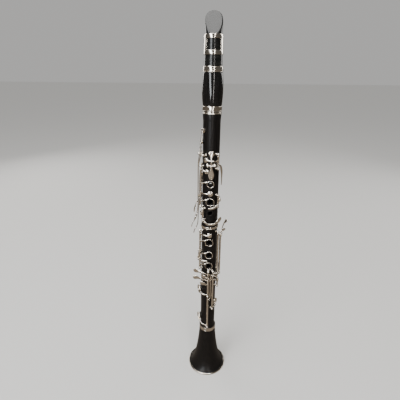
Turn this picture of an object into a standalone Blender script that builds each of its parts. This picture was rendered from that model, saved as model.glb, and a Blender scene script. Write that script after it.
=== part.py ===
"""A B flat clarinet, standing on its bell: 17 keys, 6 rings, mouthpiece, reed and ligature.

Metres, +Z up along the bore, the finger holes facing -Y. The origin is the centre of the bell's
rim. A place on the body is given as (azimuth, radius, height): azimuth 0 is the front, where the
finger holes are, and it grows towards +X, the player's left.
"""

from math import atan2, cos, degrees, hypot, pi, radians, sin

import bmesh
import bpy
from mathutils import Matrix, Vector

# ---- driving dimensions -------------------------------------------------------------------------

BELL_LENGTH = 0.104
LOWER_LENGTH = 0.226
UPPER_LENGTH = 0.195
BARREL_LENGTH = 0.065
MOUTHPIECE_LENGTH = 0.073

BORE = 0.0074  # radius
BODY = 0.0139  # outer radius of the two joints where the keys are
BELL_RIM = 0.0380
BELL_NECK = 0.0158
BELL_WALL = 0.0030  # at the mouth
BARREL_BELLY = 0.0162
BARREL_END = 0.0148
RING_WALL = 0.0012
RING_TALL = 0.0078  # height of a socket ring
RING_PROUD = 0.0003
RIM_WIDE = 0.0022  # the ring round the bell's rim
RIM_TALL = 0.0032
SOCKET = 0.0115  # radius of every socket
TENON_LENGTH = 0.0165
MIDDLE_TENON = 0.0105  # the shorter tenon between the two joints
CORK_THICK = 0.0010
CORK_SPAN = (0.20, 0.82)  # where the cork starts and ends along its tenon
GAP = 0.0003  # between pieces that touch
TENON = SOCKET - GAP - 0.0002

MOUTH_LOW = 0.0138  # outer radius of the mouthpiece above the barrel
MOUTH_HIGH = 0.0128  # and where the beak starts
BEAK_LENGTH = 0.0335
TIP_HALF_WIDTH = 0.0068
TIP_THICK = 0.0012
TABLE = 0.0084  # the reed's flat, measured from the axis
REED_THICK = 0.0025
REED_TIP_THICK = 0.0007
REED_LENGTH = 0.0640
REED_HALF_WIDTH = 0.0060
LIGATURE_SHEET = 0.0009
BAND_WIDTH = 0.0056
LIGATURE_LENGTH = 0.0265
LIGATURE_DROP = 0.0315  # from the tip of the beak to the ligature's upper edge
LUG = 0.0022  # half width of the slit that the two screws close, and thickness of a lug
SCREW = 0.0009
SCREW_HEAD = 0.0034

TUBE = 0.0020  # outer radius of a key's hinge tube
STEEL = 0.0009  # radius of the steel rod inside it
TUBE_BORE = 0.0014
POST_BALL = 0.0023
POST_STEM = 0.0013
POST_FOOT = 0.0022
END_PLAY = 0.0004  # between a post's ball and the end of a tube
HINGE_RISE = 0.0047  # a hinge's axis above the body
HINGE = BODY + HINGE_RISE
ARM_WIDE = 0.0026
ARM_THICK = 0.0013
SEAT = 0.0013  # how far a tone hole's seat stands above the body
CUP_TALL = 0.0028
RING_BAR = 0.0012
CHIMNEY = 0.0024  # height of a ringed hole's chimney
CHIMNEY_GAP = 0.0011  # between a chimney and its ring
RING_LIFT = 0.0013  # how far a raised finger ring stands above its chimney
PAD_LIFT = 0.0022  # how far the two large open pads stand above their seats

ROUND = 20  # sides of the large turned pieces
SMALL = 6  # sides of tubes and posts
DISC = 12  # sides of cups and finger rings
MM = 0.001

LOW_RING_TALL = 0.0045
TOP_RING_TALL = 0.0030
SOCKET_END = 0.0149  # outer radius of the lower joint round its socket
REST_WIDE = 0.0058  # half width of the thumb rest
REST_PLATE = 0.0016
REST_REACH = 0.0150
THUMB_SCREW = 0.0011
SCREW_HOLE = 0.0015
SCREW_TIP = BORE + 0.0028

# ---- heights along the bore ---------------------------------------------------------------------

LOWER_BASE = BELL_LENGTH
UPPER_BASE = LOWER_BASE + LOWER_LENGTH
BARREL_BASE = UPPER_BASE + UPPER_LENGTH
MOUTH_LOW_Z = BARREL_BASE + BARREL_LENGTH
TIP_Z = MOUTH_LOW_Z + MOUTHPIECE_LENGTH
TABLE_LOW = TIP_Z - REED_LENGTH - 1.0 * MM
LIGATURE_TOP = TIP_Z - LIGATURE_DROP
LIGATURE_LOW = LIGATURE_TOP - LIGATURE_LENGTH
SCREW_HEIGHTS = (LIGATURE_TOP - BAND_WIDTH / 2, LIGATURE_LOW + BAND_WIDTH / 2)
SCREW_Y = MOUTH_HIGH + 4.4 * MM
HEAD_X = 14.0 * MM


def low(height):
    """A height on the lower joint, measured from its bell end."""
    return LOWER_BASE + height


def up(height):
    """A height on the upper joint, measured from the middle joint."""
    return UPPER_BASE + height


def spot(azimuth, radius, z):
    """The point at that azimuth in degrees, radius and height."""
    turn = radians(azimuth)
    return Vector((radius * sin(turn), -radius * cos(turn), z))


def outward(azimuth):
    """The unit vector away from the axis at that azimuth."""
    return spot(azimuth, 1.0, 0.0)


def facing(azimuth, radius, z):
    """A frame at that place: X runs round the body, Y along it and Z away from it."""
    across = Vector((cos(radians(azimuth)), sin(radians(azimuth)), 0.0))
    turn = Matrix((across, Vector((0.0, 0.0, 1.0)), outward(azimuth))).transposed()
    return Matrix.Translation(spot(azimuth, radius, z)) @ turn.to_4x4()


# ---- materials ----------------------------------------------------------------------------------


def material(name, colour, roughness, metallic=0.0):
    """A Principled material."""
    made = bpy.data.materials.new(name)
    made.use_nodes = True
    shader = made.node_tree.nodes["Principled BSDF"]
    shader.inputs["Base Color"].default_value = (*colour, 1.0)
    shader.inputs["Roughness"].default_value = roughness
    shader.inputs["Metallic"].default_value = metallic
    return made


# ---- shapes -------------------------------------------------------------------------------------


def finish(name, bm, frame=None):
    """Makes an object from a closed bmesh, placed by frame, with its faces turned outwards."""
    if frame is not None:
        bmesh.ops.transform(bm, matrix=frame, verts=bm.verts)
    bmesh.ops.remove_doubles(bm, verts=bm.verts, dist=1e-6)
    bmesh.ops.recalc_face_normals(bm, faces=bm.faces)
    mesh = bpy.data.meshes.new(name)
    bm.to_mesh(mesh)
    bm.free()
    made = bpy.data.objects.new(name, mesh)
    bpy.context.scene.collection.objects.link(made)
    return made


def turned(name, outline, sides, frame=None):
    """A solid turned about Z from an outline of (radius, height) points.

    An outline whose ends lie on the axis makes a solid; any other is a closed loop, so a tube.
    """
    bm = bmesh.new()
    points = [bm.verts.new((radius, 0.0, z)) for radius, z in outline]
    edges = [bm.edges.new(pair) for pair in zip(points, points[1:])]
    if outline[0][0] > 0.0:
        edges.append(bm.edges.new((points[-1], points[0])))
    bmesh.ops.spin(
        bm, geom=points + edges, cent=(0, 0, 0), axis=(0, 0, 1), angle=2 * pi, steps=sides, use_merge=True
    )
    return finish(name, bm, frame)


def rod(name, start, end, radius, sides=SMALL, bore=0.0):
    """A round bar from start to end, hollow where a bore is given."""
    along = Vector(end) - Vector(start)
    frame = Matrix.Translation(start) @ along.to_track_quat("Z", "Y").to_matrix().to_4x4()
    length = along.length
    if bore:
        outline = [(radius, 0.0), (radius, length), (bore, length), (bore, 0.0)]
    else:
        outline = [(0.0, 0.0), (radius, 0.0), (radius, length), (0.0, length)]
    return turned(name, outline, sides, frame)


def swept(name, path, wide, thick):
    """A flat bar along path, points of (azimuth, radius, height), lying flat on the body's curve.

    wide and thick are one size for the whole bar, or a list with one for each point.
    """
    points = [spot(*place) for place in path]
    wides = wide if isinstance(wide, list) else [wide] * len(path)
    thicks = thick if isinstance(thick, list) else [thick] * len(path)
    bm = bmesh.new()
    rows = []
    for i, point in enumerate(points):
        run = points[min(i + 1, len(points) - 1)] - points[max(i - 1, 0)]
        away = outward(path[i][0])
        side = run.cross(away).normalized() * wides[i] / 2
        rise = side.cross(run).normalized() * thicks[i] / 2
        corners = (-side - rise, side - rise, side + rise, -side + rise)
        rows.append([bm.verts.new(point + corner) for corner in corners])
    for this, following in zip(rows, rows[1:]):
        for k in range(4):
            bm.faces.new((this[k], this[(k + 1) % 4], following[(k + 1) % 4], following[k]))
    bm.faces.new(rows[0])
    bm.faces.new(rows[-1])
    return finish(name, bm)


def cup(name, azimuth, z, foot, radius):
    """A domed pad cup with its pad, whose underside is at radius foot from the axis."""
    outline = [
        (0.0, 0.0),
        (radius - 0.0004, 0.0),
        (radius, 0.0004),
        (radius, 0.55 * CUP_TALL),
        (0.72 * radius, 0.85 * CUP_TALL),
        (0.0, CUP_TALL),
    ]
    return turned(name, outline, DISC, facing(azimuth, foot, z))


def finger_ring(name, azimuth, z, foot, radius):
    """A flat ring of that outer radius, whose underside is at radius foot from the axis."""
    inner = radius - RING_BAR
    outline = [(inner, 0.0), (radius, 0.0), (radius, RING_BAR), (inner, RING_BAR)]
    return turned(name, outline, DISC + 2, facing(azimuth, foot, z))


def apply_booleans(base, others, operation, solver):
    """Joins or cuts the base with each of the others, which are then removed."""
    for other in others:
        step = base.modifiers.new(other.name, "BOOLEAN")
        step.operation = operation
        step.solver = solver
        step.object = other
    graph = bpy.context.evaluated_depsgraph_get()
    mesh = bpy.data.meshes.new_from_object(base.evaluated_get(graph))
    base.modifiers.clear()
    base.data = mesh
    for other in others:
        bpy.data.objects.remove(other)
    return base


def piece(name, shapes, finish_material, cuts=(), solver="EXACT"):
    """The named sub-part: its shapes joined, then cut, and given its material."""
    made = shapes[0]
    if len(shapes) > 1:
        apply_booleans(made, shapes[1:], "UNION", solver)
    if cuts:
        apply_booleans(made, list(cuts), "DIFFERENCE", solver)
    made.name = name
    made.data.name = name
    made.data.materials.clear()
    made.data.materials.append(finish_material)
    made.data.shade_smooth()
    made.data.set_sharp_from_angle(angle=radians(35))
    return made


# ---- tone holes ---------------------------------------------------------------------------------


class Hole:
    """A tone hole: where it is, its radius, and the seat or chimney that it opens in."""

    def __init__(self, azimuth, z, radius, rim, height=SEAT):
        self.azimuth = azimuth
        self.z = z
        self.radius = radius
        self.rim = rim
        self.height = height

    def seat(self, name):
        """The raised seat, from inside the wall out to its rim."""
        wall = (BODY + BORE) / 2
        tall = BODY + self.height - wall
        frame = facing(self.azimuth, wall, self.z)
        return turned(name, [(0.0, 0.0), (self.rim, 0.0), (self.rim, tall), (0.0, tall)], DISC, frame)

    def drill(self, name):
        """The cutter, from near the bore's axis out past the rim."""
        start = 0.35 * BORE
        tall = BODY + self.height + 0.002 - start
        frame = facing(self.azimuth, start, self.z)
        return turned(name, [(0.0, 0.0), (self.radius, 0.0), (self.radius, tall), (0.0, tall)], 10, frame)


def padded(cup):
    """The hole under a pad: its seat stays inside the pad's edge."""
    azimuth, z, radius = cup
    return Hole(azimuth, z, 0.50 * radius, 0.80 * radius)


def ringed(ring):
    """The hole inside a finger ring: its chimney clears the ring."""
    azimuth, z, radius = ring
    rim = radius - RING_BAR - CHIMNEY_GAP
    return Hole(azimuth, z, rim - 0.0011, rim, CHIMNEY)


SMALL_CUP = 0.0042
MIDDLE_CUP = 0.0047
WIDE_CUP = 0.0064
LARGE_CUP = 0.0080
FIRST_RING = 0.0062
FINGER_RING = 0.0074

# Each cup and ring is (azimuth, height, radius).
A_CUP = (0.0, up(0.1305), MIDDLE_CUP)
G_SHARP_CUP = (-32.0, up(0.1200), 0.0040)
TOP_VENT_CUP = (-24.0, up(0.1010), 0.0038)
SECOND_VENT_CUP = (0.0, up(0.0633), MIDDLE_CUP)
LEFT_SLIVER_CUP = (82.0, up(0.0480), MIDDLE_CUP)
C_SHARP_CUP = (-69.0, up(0.0235), SMALL_CUP)
REGISTER_CUP = (180.0, up(0.1700), 0.0038)
SIDE_CUPS = (
    (-58.0, up(0.1660), SMALL_CUP),
    (-78.0, up(0.1480), SMALL_CUP),
    (-113.0, up(0.1060), SMALL_CUP),
    (-132.0, up(0.0900), SMALL_CUP),
)
FIRST_RING_AT = (0.0, up(0.0795), FIRST_RING)
SECOND_RING_AT = (0.0, up(0.0478), FINGER_RING)
THUMB_RING_AT = (180.0, up(0.0740), FINGER_RING)
THIRD_HOLE = Hole(0.0, up(0.0265), 0.0037, 0.0050, 0.0010)
THUMB_TUBE = 0.0047  # outer radius of the metal tube that lines the thumb hole
THUMB_TUBE_WALL = 0.0007
VENT_TUBE = 0.0024
VENT_TUBE_WALL = 0.0007

LOW_VENT_CUP = (0.0, low(0.2110), MIDDLE_CUP)
RIGHT_SLIVER_CUP = (-122.0, low(0.1640), SMALL_CUP)
F_CUP = (-80.0, low(0.0880), LARGE_CUP)
E_CUP = (-80.0, low(0.0215), LARGE_CUP)
F_SHARP_CUP = (56.0, low(0.0620), WIDE_CUP)
A_FLAT_CUP = (98.0, low(0.1080), WIDE_CUP)
RIGHT_RINGS = tuple((0.0, low(height), FINGER_RING) for height in (0.1960, 0.1700, 0.1475))

UPPER_HOLES = [
    padded(cup)
    for cup in (A_CUP, G_SHARP_CUP, TOP_VENT_CUP, SECOND_VENT_CUP, LEFT_SLIVER_CUP, C_SHARP_CUP, *SIDE_CUPS)
]
UPPER_HOLES += [ringed(FIRST_RING_AT), ringed(SECOND_RING_AT), THIRD_HOLE]
LOWER_HOLES = [padded(cup) for cup in (LOW_VENT_CUP, RIGHT_SLIVER_CUP, F_CUP, E_CUP, F_SHARP_CUP, A_FLAT_CUP)]
LOWER_HOLES += [ringed(ring) for ring in RIGHT_RINGS]

CLOSED = SEAT + GAP  # a closed pad's underside above the body
CUP_TOP = CLOSED + 0.8 * CUP_TALL
RING_FOOT = CHIMNEY - RING_BAR  # a closed ring's underside above the body


# ---- hinges -------------------------------------------------------------------------------------


class Hinge:
    """A steel rod along the body, held by a post at each height in posts."""

    def __init__(self, azimuth, *posts, rise=HINGE_RISE):
        self.azimuth = azimuth
        self.posts = posts
        self.radius = BODY + rise
        self.pin = spot(azimuth, self.radius, posts[0])

    def at(self, z):
        """The point of the hinge's axis at that height."""
        return spot(self.azimuth, self.radius, z)

    def tube(self, name, span=0, radius=TUBE, past=0.0):
        """A round bar from post number span to the next, which the key's other parts are joined to."""
        clear = POST_BALL + END_PLAY - past
        start, end = self.posts[span] + clear, self.posts[span + 1] - clear
        return rod(name, self.at(start), self.at(end), radius)

    def bore(self, span=0):
        """The cutter that leaves room in the key for the steel rod."""
        return self.tube("bore", span, TUBE_BORE, 0.001)

    def steel(self, name, metal):
        """The rod and its posts, as one piece."""
        shapes = [rod(name, self.at(self.posts[0]), self.at(self.posts[-1]), STEEL)]
        for z in self.posts:
            shapes.append(post(name, self.at(z), self.azimuth))
        return piece(name, shapes, metal)

    def turn(self, azimuth, lift):
        """The angle that raises a pad at that azimuth by lift."""
        return -lift / (self.radius * sin(radians(azimuth - self.azimuth)))


class Pivot:
    """A steel rod across the body, held by a post at each end."""

    def __init__(self, azimuth, z, half, rise=HINGE_RISE):
        self.azimuth = azimuth
        self.half = half
        self.frame = facing(azimuth, BODY + rise, z)
        self.pin = self.frame.translation

    def at(self, along):
        """The point of the pivot's axis that far from its middle."""
        return self.frame @ Vector((along, 0.0, 0.0))

    def tube(self, name, start=None, end=None):
        """A round bar from post to post, or over a shorter stretch."""
        clear = POST_BALL + END_PLAY
        start = clear - self.half if start is None else start
        end = self.half - clear if end is None else end
        return rod(name, self.at(start), self.at(end), TUBE)

    def bore(self):
        """The cutter that leaves room in the key for the steel rod."""
        return rod("bore", self.at(1.0 * MM - self.half), self.at(self.half - 1.0 * MM), TUBE_BORE)

    def steel(self, name, metal):
        """The rod and its two posts, as one piece."""
        shapes = [rod(name, self.at(-self.half), self.at(self.half), STEEL)]
        for along in (-self.half, self.half):
            shapes.append(post(name, self.at(along), self.azimuth))
        return piece(name, shapes, metal)


def post(name, head, azimuth):
    """A post, turned in one piece with its foot and ball, standing along the azimuth's direction."""
    away = outward(azimuth)
    level = Vector((head.x, head.y, 0.0))
    height = level.dot(away)
    side = level - away * height
    ground = (BODY**2 - max(side.length - POST_FOOT, 0.0) ** 2) ** 0.5 + GAP
    middle = height - ground
    outline = [(0.0, 0.0), (POST_FOOT, 0.0), (POST_FOOT, 0.6 * MM), (POST_STEM, 1.2 * MM)]
    for angle in (-50, 0, 50):
        turn = radians(angle)
        outline.append((POST_BALL * cos(turn), middle + POST_BALL * sin(turn)))
    outline.append((0.0, middle + POST_BALL))
    frame = facing(azimuth, 0.0, head.z)
    frame.translation = away * ground + side + Vector((0.0, 0.0, head.z))
    return turned(name, outline, SMALL, frame)


UPPER_RINGS = Hinge(-64, up(0.0370), up(0.1085))
LEFT_SLIVER = Hinge(44, up(0.0385), up(0.0590))
C_SHARP = Hinge(-43, up(0.0130), up(0.0345))
G_SHARP = Hinge(37, up(0.1055), up(0.1295))
THUMB = Hinge(-146, up(0.0600), up(0.0810))
A_PIVOT = Pivot(0, up(0.1120), 0.0056, 0.0067)
REGISTER_PIVOT = Pivot(180, up(0.1280), 0.0060)
TRILL_PIVOT = Pivot(-66, up(0.1280), 0.0078)
SIDE_PIVOT = Pivot(-122.5, up(0.0530), 0.0078)
LOWER_RINGS = Hinge(-64, low(0.1385), low(0.2165))
RIGHT_SLIVER = Hinge(-86, low(0.1530), low(0.1720))
LONG_ROD = Hinge(-4, low(0.0060), low(0.0800), low(0.1355))
F_SHARP_ROD = Hinge(24, low(0.0500), low(0.1355))
A_FLAT_ROD = Hinge(62, low(0.0985), low(0.1170))
LEFT_F_SHARP = Hinge(54, low(0.1255), low(0.2145))
LEFT_E = Hinge(80, low(0.1245), low(0.2070), rise=0.0061)

UPPER_HINGES = {
    "upper_ring_hinge_rod": UPPER_RINGS,
    "left_sliver_hinge_rod": LEFT_SLIVER,
    "c_sharp_hinge_rod": C_SHARP,
    "throat_g_sharp_hinge_rod": G_SHARP,
    "thumb_ring_hinge_rod": THUMB,
    "throat_a_hinge_rod": A_PIVOT,
    "register_hinge_rod": REGISTER_PIVOT,
    "trill_hinge_rod": TRILL_PIVOT,
    "side_hinge_rod": SIDE_PIVOT,
}
LOWER_HINGES = {
    "lower_ring_hinge_rod": LOWER_RINGS,
    "right_sliver_hinge_rod": RIGHT_SLIVER,
    "long_hinge_rod": LONG_ROD,
    "f_sharp_hinge_rod": F_SHARP_ROD,
    "a_flat_hinge_rod": A_FLAT_ROD,
    "left_f_sharp_hinge_rod": LEFT_F_SHARP,
    "left_e_b_hinge_rod": LEFT_E,
}


# ---- the body -----------------------------------------------------------------------------------


def mouth_radius(z):
    """The mouthpiece's outer radius, which narrows evenly up to the beak."""
    share = (z - MOUTH_LOW_Z) / (TIP_Z - BEAK_LENGTH - MOUTH_LOW_Z)
    return MOUTH_LOW + (MOUTH_HIGH - MOUTH_LOW) * min(max(share, 0.0), 1.0)


def extruded(name, outline, half_width):
    """A solid between -half_width and half_width along X, from an outline of (y, z) points."""
    bm = bmesh.new()
    near = [bm.verts.new((-half_width, y, z)) for y, z in outline]
    far = [bm.verts.new((half_width, y, z)) for y, z in outline]
    for i in range(len(outline)):
        j = (i + 1) % len(outline)
        bm.faces.new((near[i], near[j], far[j], far[i]))
    bm.faces.new(near)
    bm.faces.new(far)
    return finish(name, bm)


def block(name, across, start, end):
    """A box from height start to end; across is (half width, lowest y, highest y)."""
    half, front, back = across
    return extruded(name, [(front, start), (back, start), (back, end), (front, end)], half)


def tenon(base, way, length=TENON_LENGTH):
    """Outline points of a tenon with its cork groove, from the joint's end face at base outwards.

    way is +1 for a tenon that points up and -1 for one that points down.
    """
    groove = TENON - CORK_THICK
    start, end = CORK_SPAN[0] * length, CORK_SPAN[1] * length
    steps = [(TENON, 0.0), (TENON, start), (groove, start), (groove, end), (TENON, end), (TENON, length)]
    return [(radius, base + way * step) for radius, step in steps]


def cork(name, base, way, cork_material, length=TENON_LENGTH):
    """The cork sleeve that lies in a tenon's groove."""
    inner, outer = TENON - CORK_THICK + GAP, SOCKET - GAP
    ends = (CORK_SPAN[0] * length + GAP, CORK_SPAN[1] * length - GAP)
    start, end = sorted(base + way * step for step in ends)
    outline = [(inner, start), (outer, start), (outer, end), (inner, end)]
    return piece(name, [turned(name, outline, ROUND)], cork_material)


def socket_ring(name, start, tall, seat, metal):
    """A metal ring around a socket's mouth, whose bed in the body has that radius."""
    outline = [
        (seat + GAP, start),
        (seat + GAP + RING_WALL, start),
        (seat + GAP + RING_WALL, start + tall),
        (seat + GAP, start + tall),
    ]
    return piece(name, [turned(name, outline, ROUND)], metal)


def bell_radius(z):
    """The bell's outer radius: a slow cone, with a flare that dies away above the rim."""
    share = max(1.0 - z / (0.96 * BELL_LENGTH), 0.0)
    spread = BELL_RIM - BELL_NECK
    return BELL_NECK + spread * (0.545 * share**1.5 + 0.455 * 2.718 ** (-z / 0.012) * min(1.0, 8 * share))


def bell(wood):
    """The bell: a socket at its top, a bore that flares with the outside, and an open mouth."""
    heights = [0.0, 5.0, 10.0, 18.0, 30.0, 48.0, 70.0]
    rim_bed = BELL_RIM - RIM_WIDE
    bed = BELL_NECK - RING_WALL - GAP + RING_PROUD
    ring_low = BELL_LENGTH - RING_TALL - 1.2 * MM
    outer = [(rim_bed, 0.0), (rim_bed, RIM_TALL + GAP), (bell_radius(RIM_TALL), RIM_TALL + GAP)]
    outer += [(bell_radius(z * MM), z * MM) for z in heights if z * MM > RIM_TALL + 1.0 * MM]
    outer += [(BELL_NECK, ring_low - 0.5 * MM), (bed, ring_low - 0.5 * MM)]
    outer += [(bed, BELL_LENGTH - GAP / 2), (SOCKET, BELL_LENGTH - GAP / 2)]
    floor = BELL_LENGTH - TENON_LENGTH - 0.5 * MM
    inner = [(SOCKET, floor), (BORE, floor)]
    for z in reversed(heights):
        wall = BELL_WALL + (BELL_NECK - BORE - BELL_WALL) * z * MM / floor
        inner.append((min(bell_radius(z * MM), BELL_RIM - 0.8 * MM) - wall, z * MM))
    return piece("bell", [turned("bell", outer + inner, ROUND + 8)], wood)


def bell_fittings(metal):
    """The ring at the bell's socket, and the one round its rim, which it stands on."""
    bed = BELL_NECK - RING_WALL - GAP + RING_PROUD
    socket_ring("bell_socket_ring", BELL_LENGTH - RING_TALL - 1.2 * MM, RING_TALL, bed, metal)
    start = BELL_RIM - RIM_WIDE + GAP
    outline = [
        (start, 0.0),
        (BELL_RIM - 0.4 * MM, 0.0),
        (BELL_RIM, 0.5 * MM),
        (BELL_RIM, 0.7 * RIM_TALL),
        (BELL_RIM - 0.5 * MM, RIM_TALL),
        (start, RIM_TALL),
    ]
    piece("bell_rim_ring", [turned("bell_rim_ring", outline, ROUND + 8)], metal)


def lower_joint(wood):
    """The lower joint: a tenon below, a socket above, and a seat or a chimney round each hole."""
    bottom, top = LOWER_BASE + GAP / 2, UPPER_BASE - GAP / 2
    bed = SOCKET_END - RING_WALL - GAP + RING_PROUD
    ring_low = top - LOW_RING_TALL - 0.4 * MM
    outline = list(reversed(tenon(bottom, -1)))
    outline += [(BODY + 0.6 * MM, bottom), (BODY + 0.6 * MM, bottom + 1.5 * MM), (BODY, bottom + 3.0 * MM)]
    outline += [(BODY, ring_low - 1.5 * MM), (SOCKET_END, ring_low - GAP), (bed, ring_low - GAP), (bed, top)]
    floor = top - MIDDLE_TENON - 0.5 * MM
    outline += [(SOCKET, top), (SOCKET, floor), (BORE, floor), (BORE, bottom - TENON_LENGTH)]
    body = turned("lower_joint", outline, ROUND)
    seats = [hole.seat("seat") for hole in LOWER_HOLES]
    drills = [hole.drill("drill") for hole in LOWER_HOLES]
    for z in THUMB_SCREWS:
        drills.append(rod("drill", spot(180, SCREW_TIP - GAP, z), spot(180, BODY + 2 * MM, z), SCREW_HOLE))
    return piece("lower_joint", [body, *seats], wood, drills, "MANIFOLD")


def upper_joint(wood):
    """The upper joint: a tenon at each end, and a seat or a chimney round each hole."""
    bottom, top = UPPER_BASE + GAP / 2, BARREL_BASE - GAP / 2
    bed = BARREL_END - RING_WALL - GAP + RING_PROUD
    outline = list(reversed(tenon(bottom, -1, MIDDLE_TENON)))
    outline += [(BODY + 0.6 * MM, bottom), (BODY + 0.6 * MM, bottom + 1.5 * MM), (BODY, bottom + 3.0 * MM)]
    outline += [(BODY, top - 14.0 * MM), (BARREL_END, top - TOP_RING_TALL - 0.4 * MM - GAP)]
    outline += [(bed, top - TOP_RING_TALL - 0.4 * MM - GAP), (bed, top)]
    outline += tenon(top, 1)
    outline += [(BORE, top + TENON_LENGTH), (BORE, bottom - MIDDLE_TENON)]
    body = turned("upper_joint", outline, ROUND)
    seats = [hole.seat("seat") for hole in UPPER_HOLES]
    drills = [hole.drill("drill") for hole in UPPER_HOLES]
    for (azimuth, z, _), tube in ((THUMB_RING_AT, THUMB_TUBE), (REGISTER_CUP, VENT_TUBE)):
        ends = spot(azimuth, 0.35 * BORE, z), spot(azimuth, BODY + 3 * MM, z)
        drills.append(rod("drill", *ends, tube + GAP, DISC))
    return piece("upper_joint", [body, *seats], wood, drills, "MANIFOLD")


def lining(name, place, radius, wall, top, metal):
    """A metal tube that lines a hole on the back, from the bore out to that height above the body."""
    azimuth, z, _ = place
    start = spot(azimuth, (BORE**2 - radius**2) ** 0.5 + 0.4 * MM, z)
    end = spot(azimuth, BODY + top, z)
    return piece(name, [rod(name, start, end, radius, DISC, radius - wall)], metal)


def barrel(wood):
    """The barrel: an even belly, a socket at each end, and a bed for a ring at each end."""
    bottom, top = BARREL_BASE + GAP / 2, MOUTH_LOW_Z - GAP / 2
    bed = BARREL_END - RING_WALL - GAP + RING_PROUD
    low_edge, high_edge = bottom + RING_TALL + 1.0 * MM, top - RING_TALL - 1.0 * MM
    steps = 6
    outline = [(bed, bottom), (bed, low_edge)]
    for i in range(steps + 1):
        share = i / steps
        swell = sin(pi * share) ** 0.8 * (BARREL_BELLY - BARREL_END)
        outline.append((BARREL_END + swell, low_edge + share * (high_edge - low_edge)))
    outline += [(bed, high_edge), (bed, top), (SOCKET, top)]
    outline += [(SOCKET, top - TENON_LENGTH - 0.5 * MM), (BORE, top - TENON_LENGTH - 0.5 * MM)]
    outline += [(BORE, bottom + TENON_LENGTH + 0.5 * MM), (SOCKET, bottom + TENON_LENGTH + 0.5 * MM)]
    outline += [(SOCKET, bottom)]
    return piece("barrel", [turned("barrel", outline, ROUND)], wood)


def barrel_fittings(metal):
    """The barrel's two rings, and the thin ring at the top of the upper joint."""
    bed = BARREL_END - RING_WALL - GAP + RING_PROUD
    bottom, top = BARREL_BASE + GAP / 2, MOUTH_LOW_Z - GAP / 2
    socket_ring("barrel_ring_lower", bottom + 0.4 * MM, RING_TALL, bed, metal)
    socket_ring("barrel_ring_upper", top - RING_TALL - 0.4 * MM, RING_TALL, bed, metal)
    socket_ring("upper_joint_ring", BARREL_BASE - TOP_RING_TALL - 0.4 * MM, TOP_RING_TALL, bed, metal)
    low_bed = SOCKET_END - RING_WALL - GAP + RING_PROUD
    socket_ring("lower_joint_socket_ring", UPPER_BASE - LOW_RING_TALL - 0.4 * MM, LOW_RING_TALL, low_bed, metal)


def mouthpiece(rubber):
    """The mouthpiece: a beak cut on the front, a flat table on the back, and a window into the bore."""
    bottom = MOUTH_LOW_Z + GAP / 2
    bore_top = TIP_Z - BEAK_LENGTH - 6 * MM
    outline = [(0.0, bore_top), (BORE, bore_top), (BORE, bottom - TENON_LENGTH)]
    outline += reversed(tenon(bottom, -1))
    outline += [(MOUTH_LOW, bottom), (MOUTH_LOW, bottom + 2.0 * MM), (MOUTH_HIGH, TIP_Z - BEAK_LENGTH)]
    outline += [(MOUTH_HIGH, TIP_Z), (0.0, TIP_Z)]
    body = turned("mouthpiece", outline, ROUND)
    far = 2 * MOUTH_LOW
    lip = TABLE - TIP_THICK
    front = [(lip, TIP_Z + GAP), (-MOUTH_HIGH, TIP_Z - BEAK_LENGTH), (-far, TIP_Z - BEAK_LENGTH)]
    front += [(-far, TIP_Z + 2 * MM), (lip, TIP_Z + 2 * MM)]
    back = [(TABLE, TABLE_LOW), (TABLE, TIP_Z + 2 * MM), (far, TIP_Z + 2 * MM), (far, TABLE_LOW)]
    window = [(TABLE + 1 * MM, TIP_Z - 2.2 * MM), (TABLE - 0.5 * MM, TIP_Z - 2.2 * MM)]
    window += [(0.0, TIP_Z - 21 * MM), (-0.4 * BORE, bore_top - 2 * MM), (TABLE - 3 * MM, bore_top - 2 * MM)]
    window += [(TABLE + 1 * MM, TIP_Z - 31 * MM)]
    cuts = [
        extruded("front", front, far),
        extruded("back", back, far),
        extruded("window", window, 0.8 * TIP_HALF_WIDTH),
    ]
    for way in (-1, 1):
        cuts.append(side_cut(way, far))
    return piece("mouthpiece", [body], rubber, cuts)


def side_cut(way, far):
    """The wedge that narrows one side of the beak towards its tip."""
    edge = MOUTH_HIGH + 0.5 * MM
    corners = [
        (way * edge, TIP_Z - BEAK_LENGTH),
        (way * TIP_HALF_WIDTH, TIP_Z + GAP),
        (way * 2 * far, TIP_Z + GAP),
        (way * 2 * far, TIP_Z - BEAK_LENGTH),
    ]
    cutter = extruded("side", corners, far)
    cutter.data.transform(Matrix.Rotation(-pi / 2, 4, "Z"))
    return cutter


def reed(cane):
    """The reed: flat on the table, a flat stock, then a vamp that thins to the tip."""
    start, face = TIP_Z - REED_LENGTH, TABLE + GAP
    outline = [
        (face, start),
        (face, TIP_Z - GAP),
        (face + REED_TIP_THICK, TIP_Z - GAP),
        (face + REED_THICK, TIP_Z - BEAK_LENGTH),
        (face + REED_THICK, start),
    ]
    return piece("reed", [extruded("reed", outline, REED_HALF_WIDTH)], cane)


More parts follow.
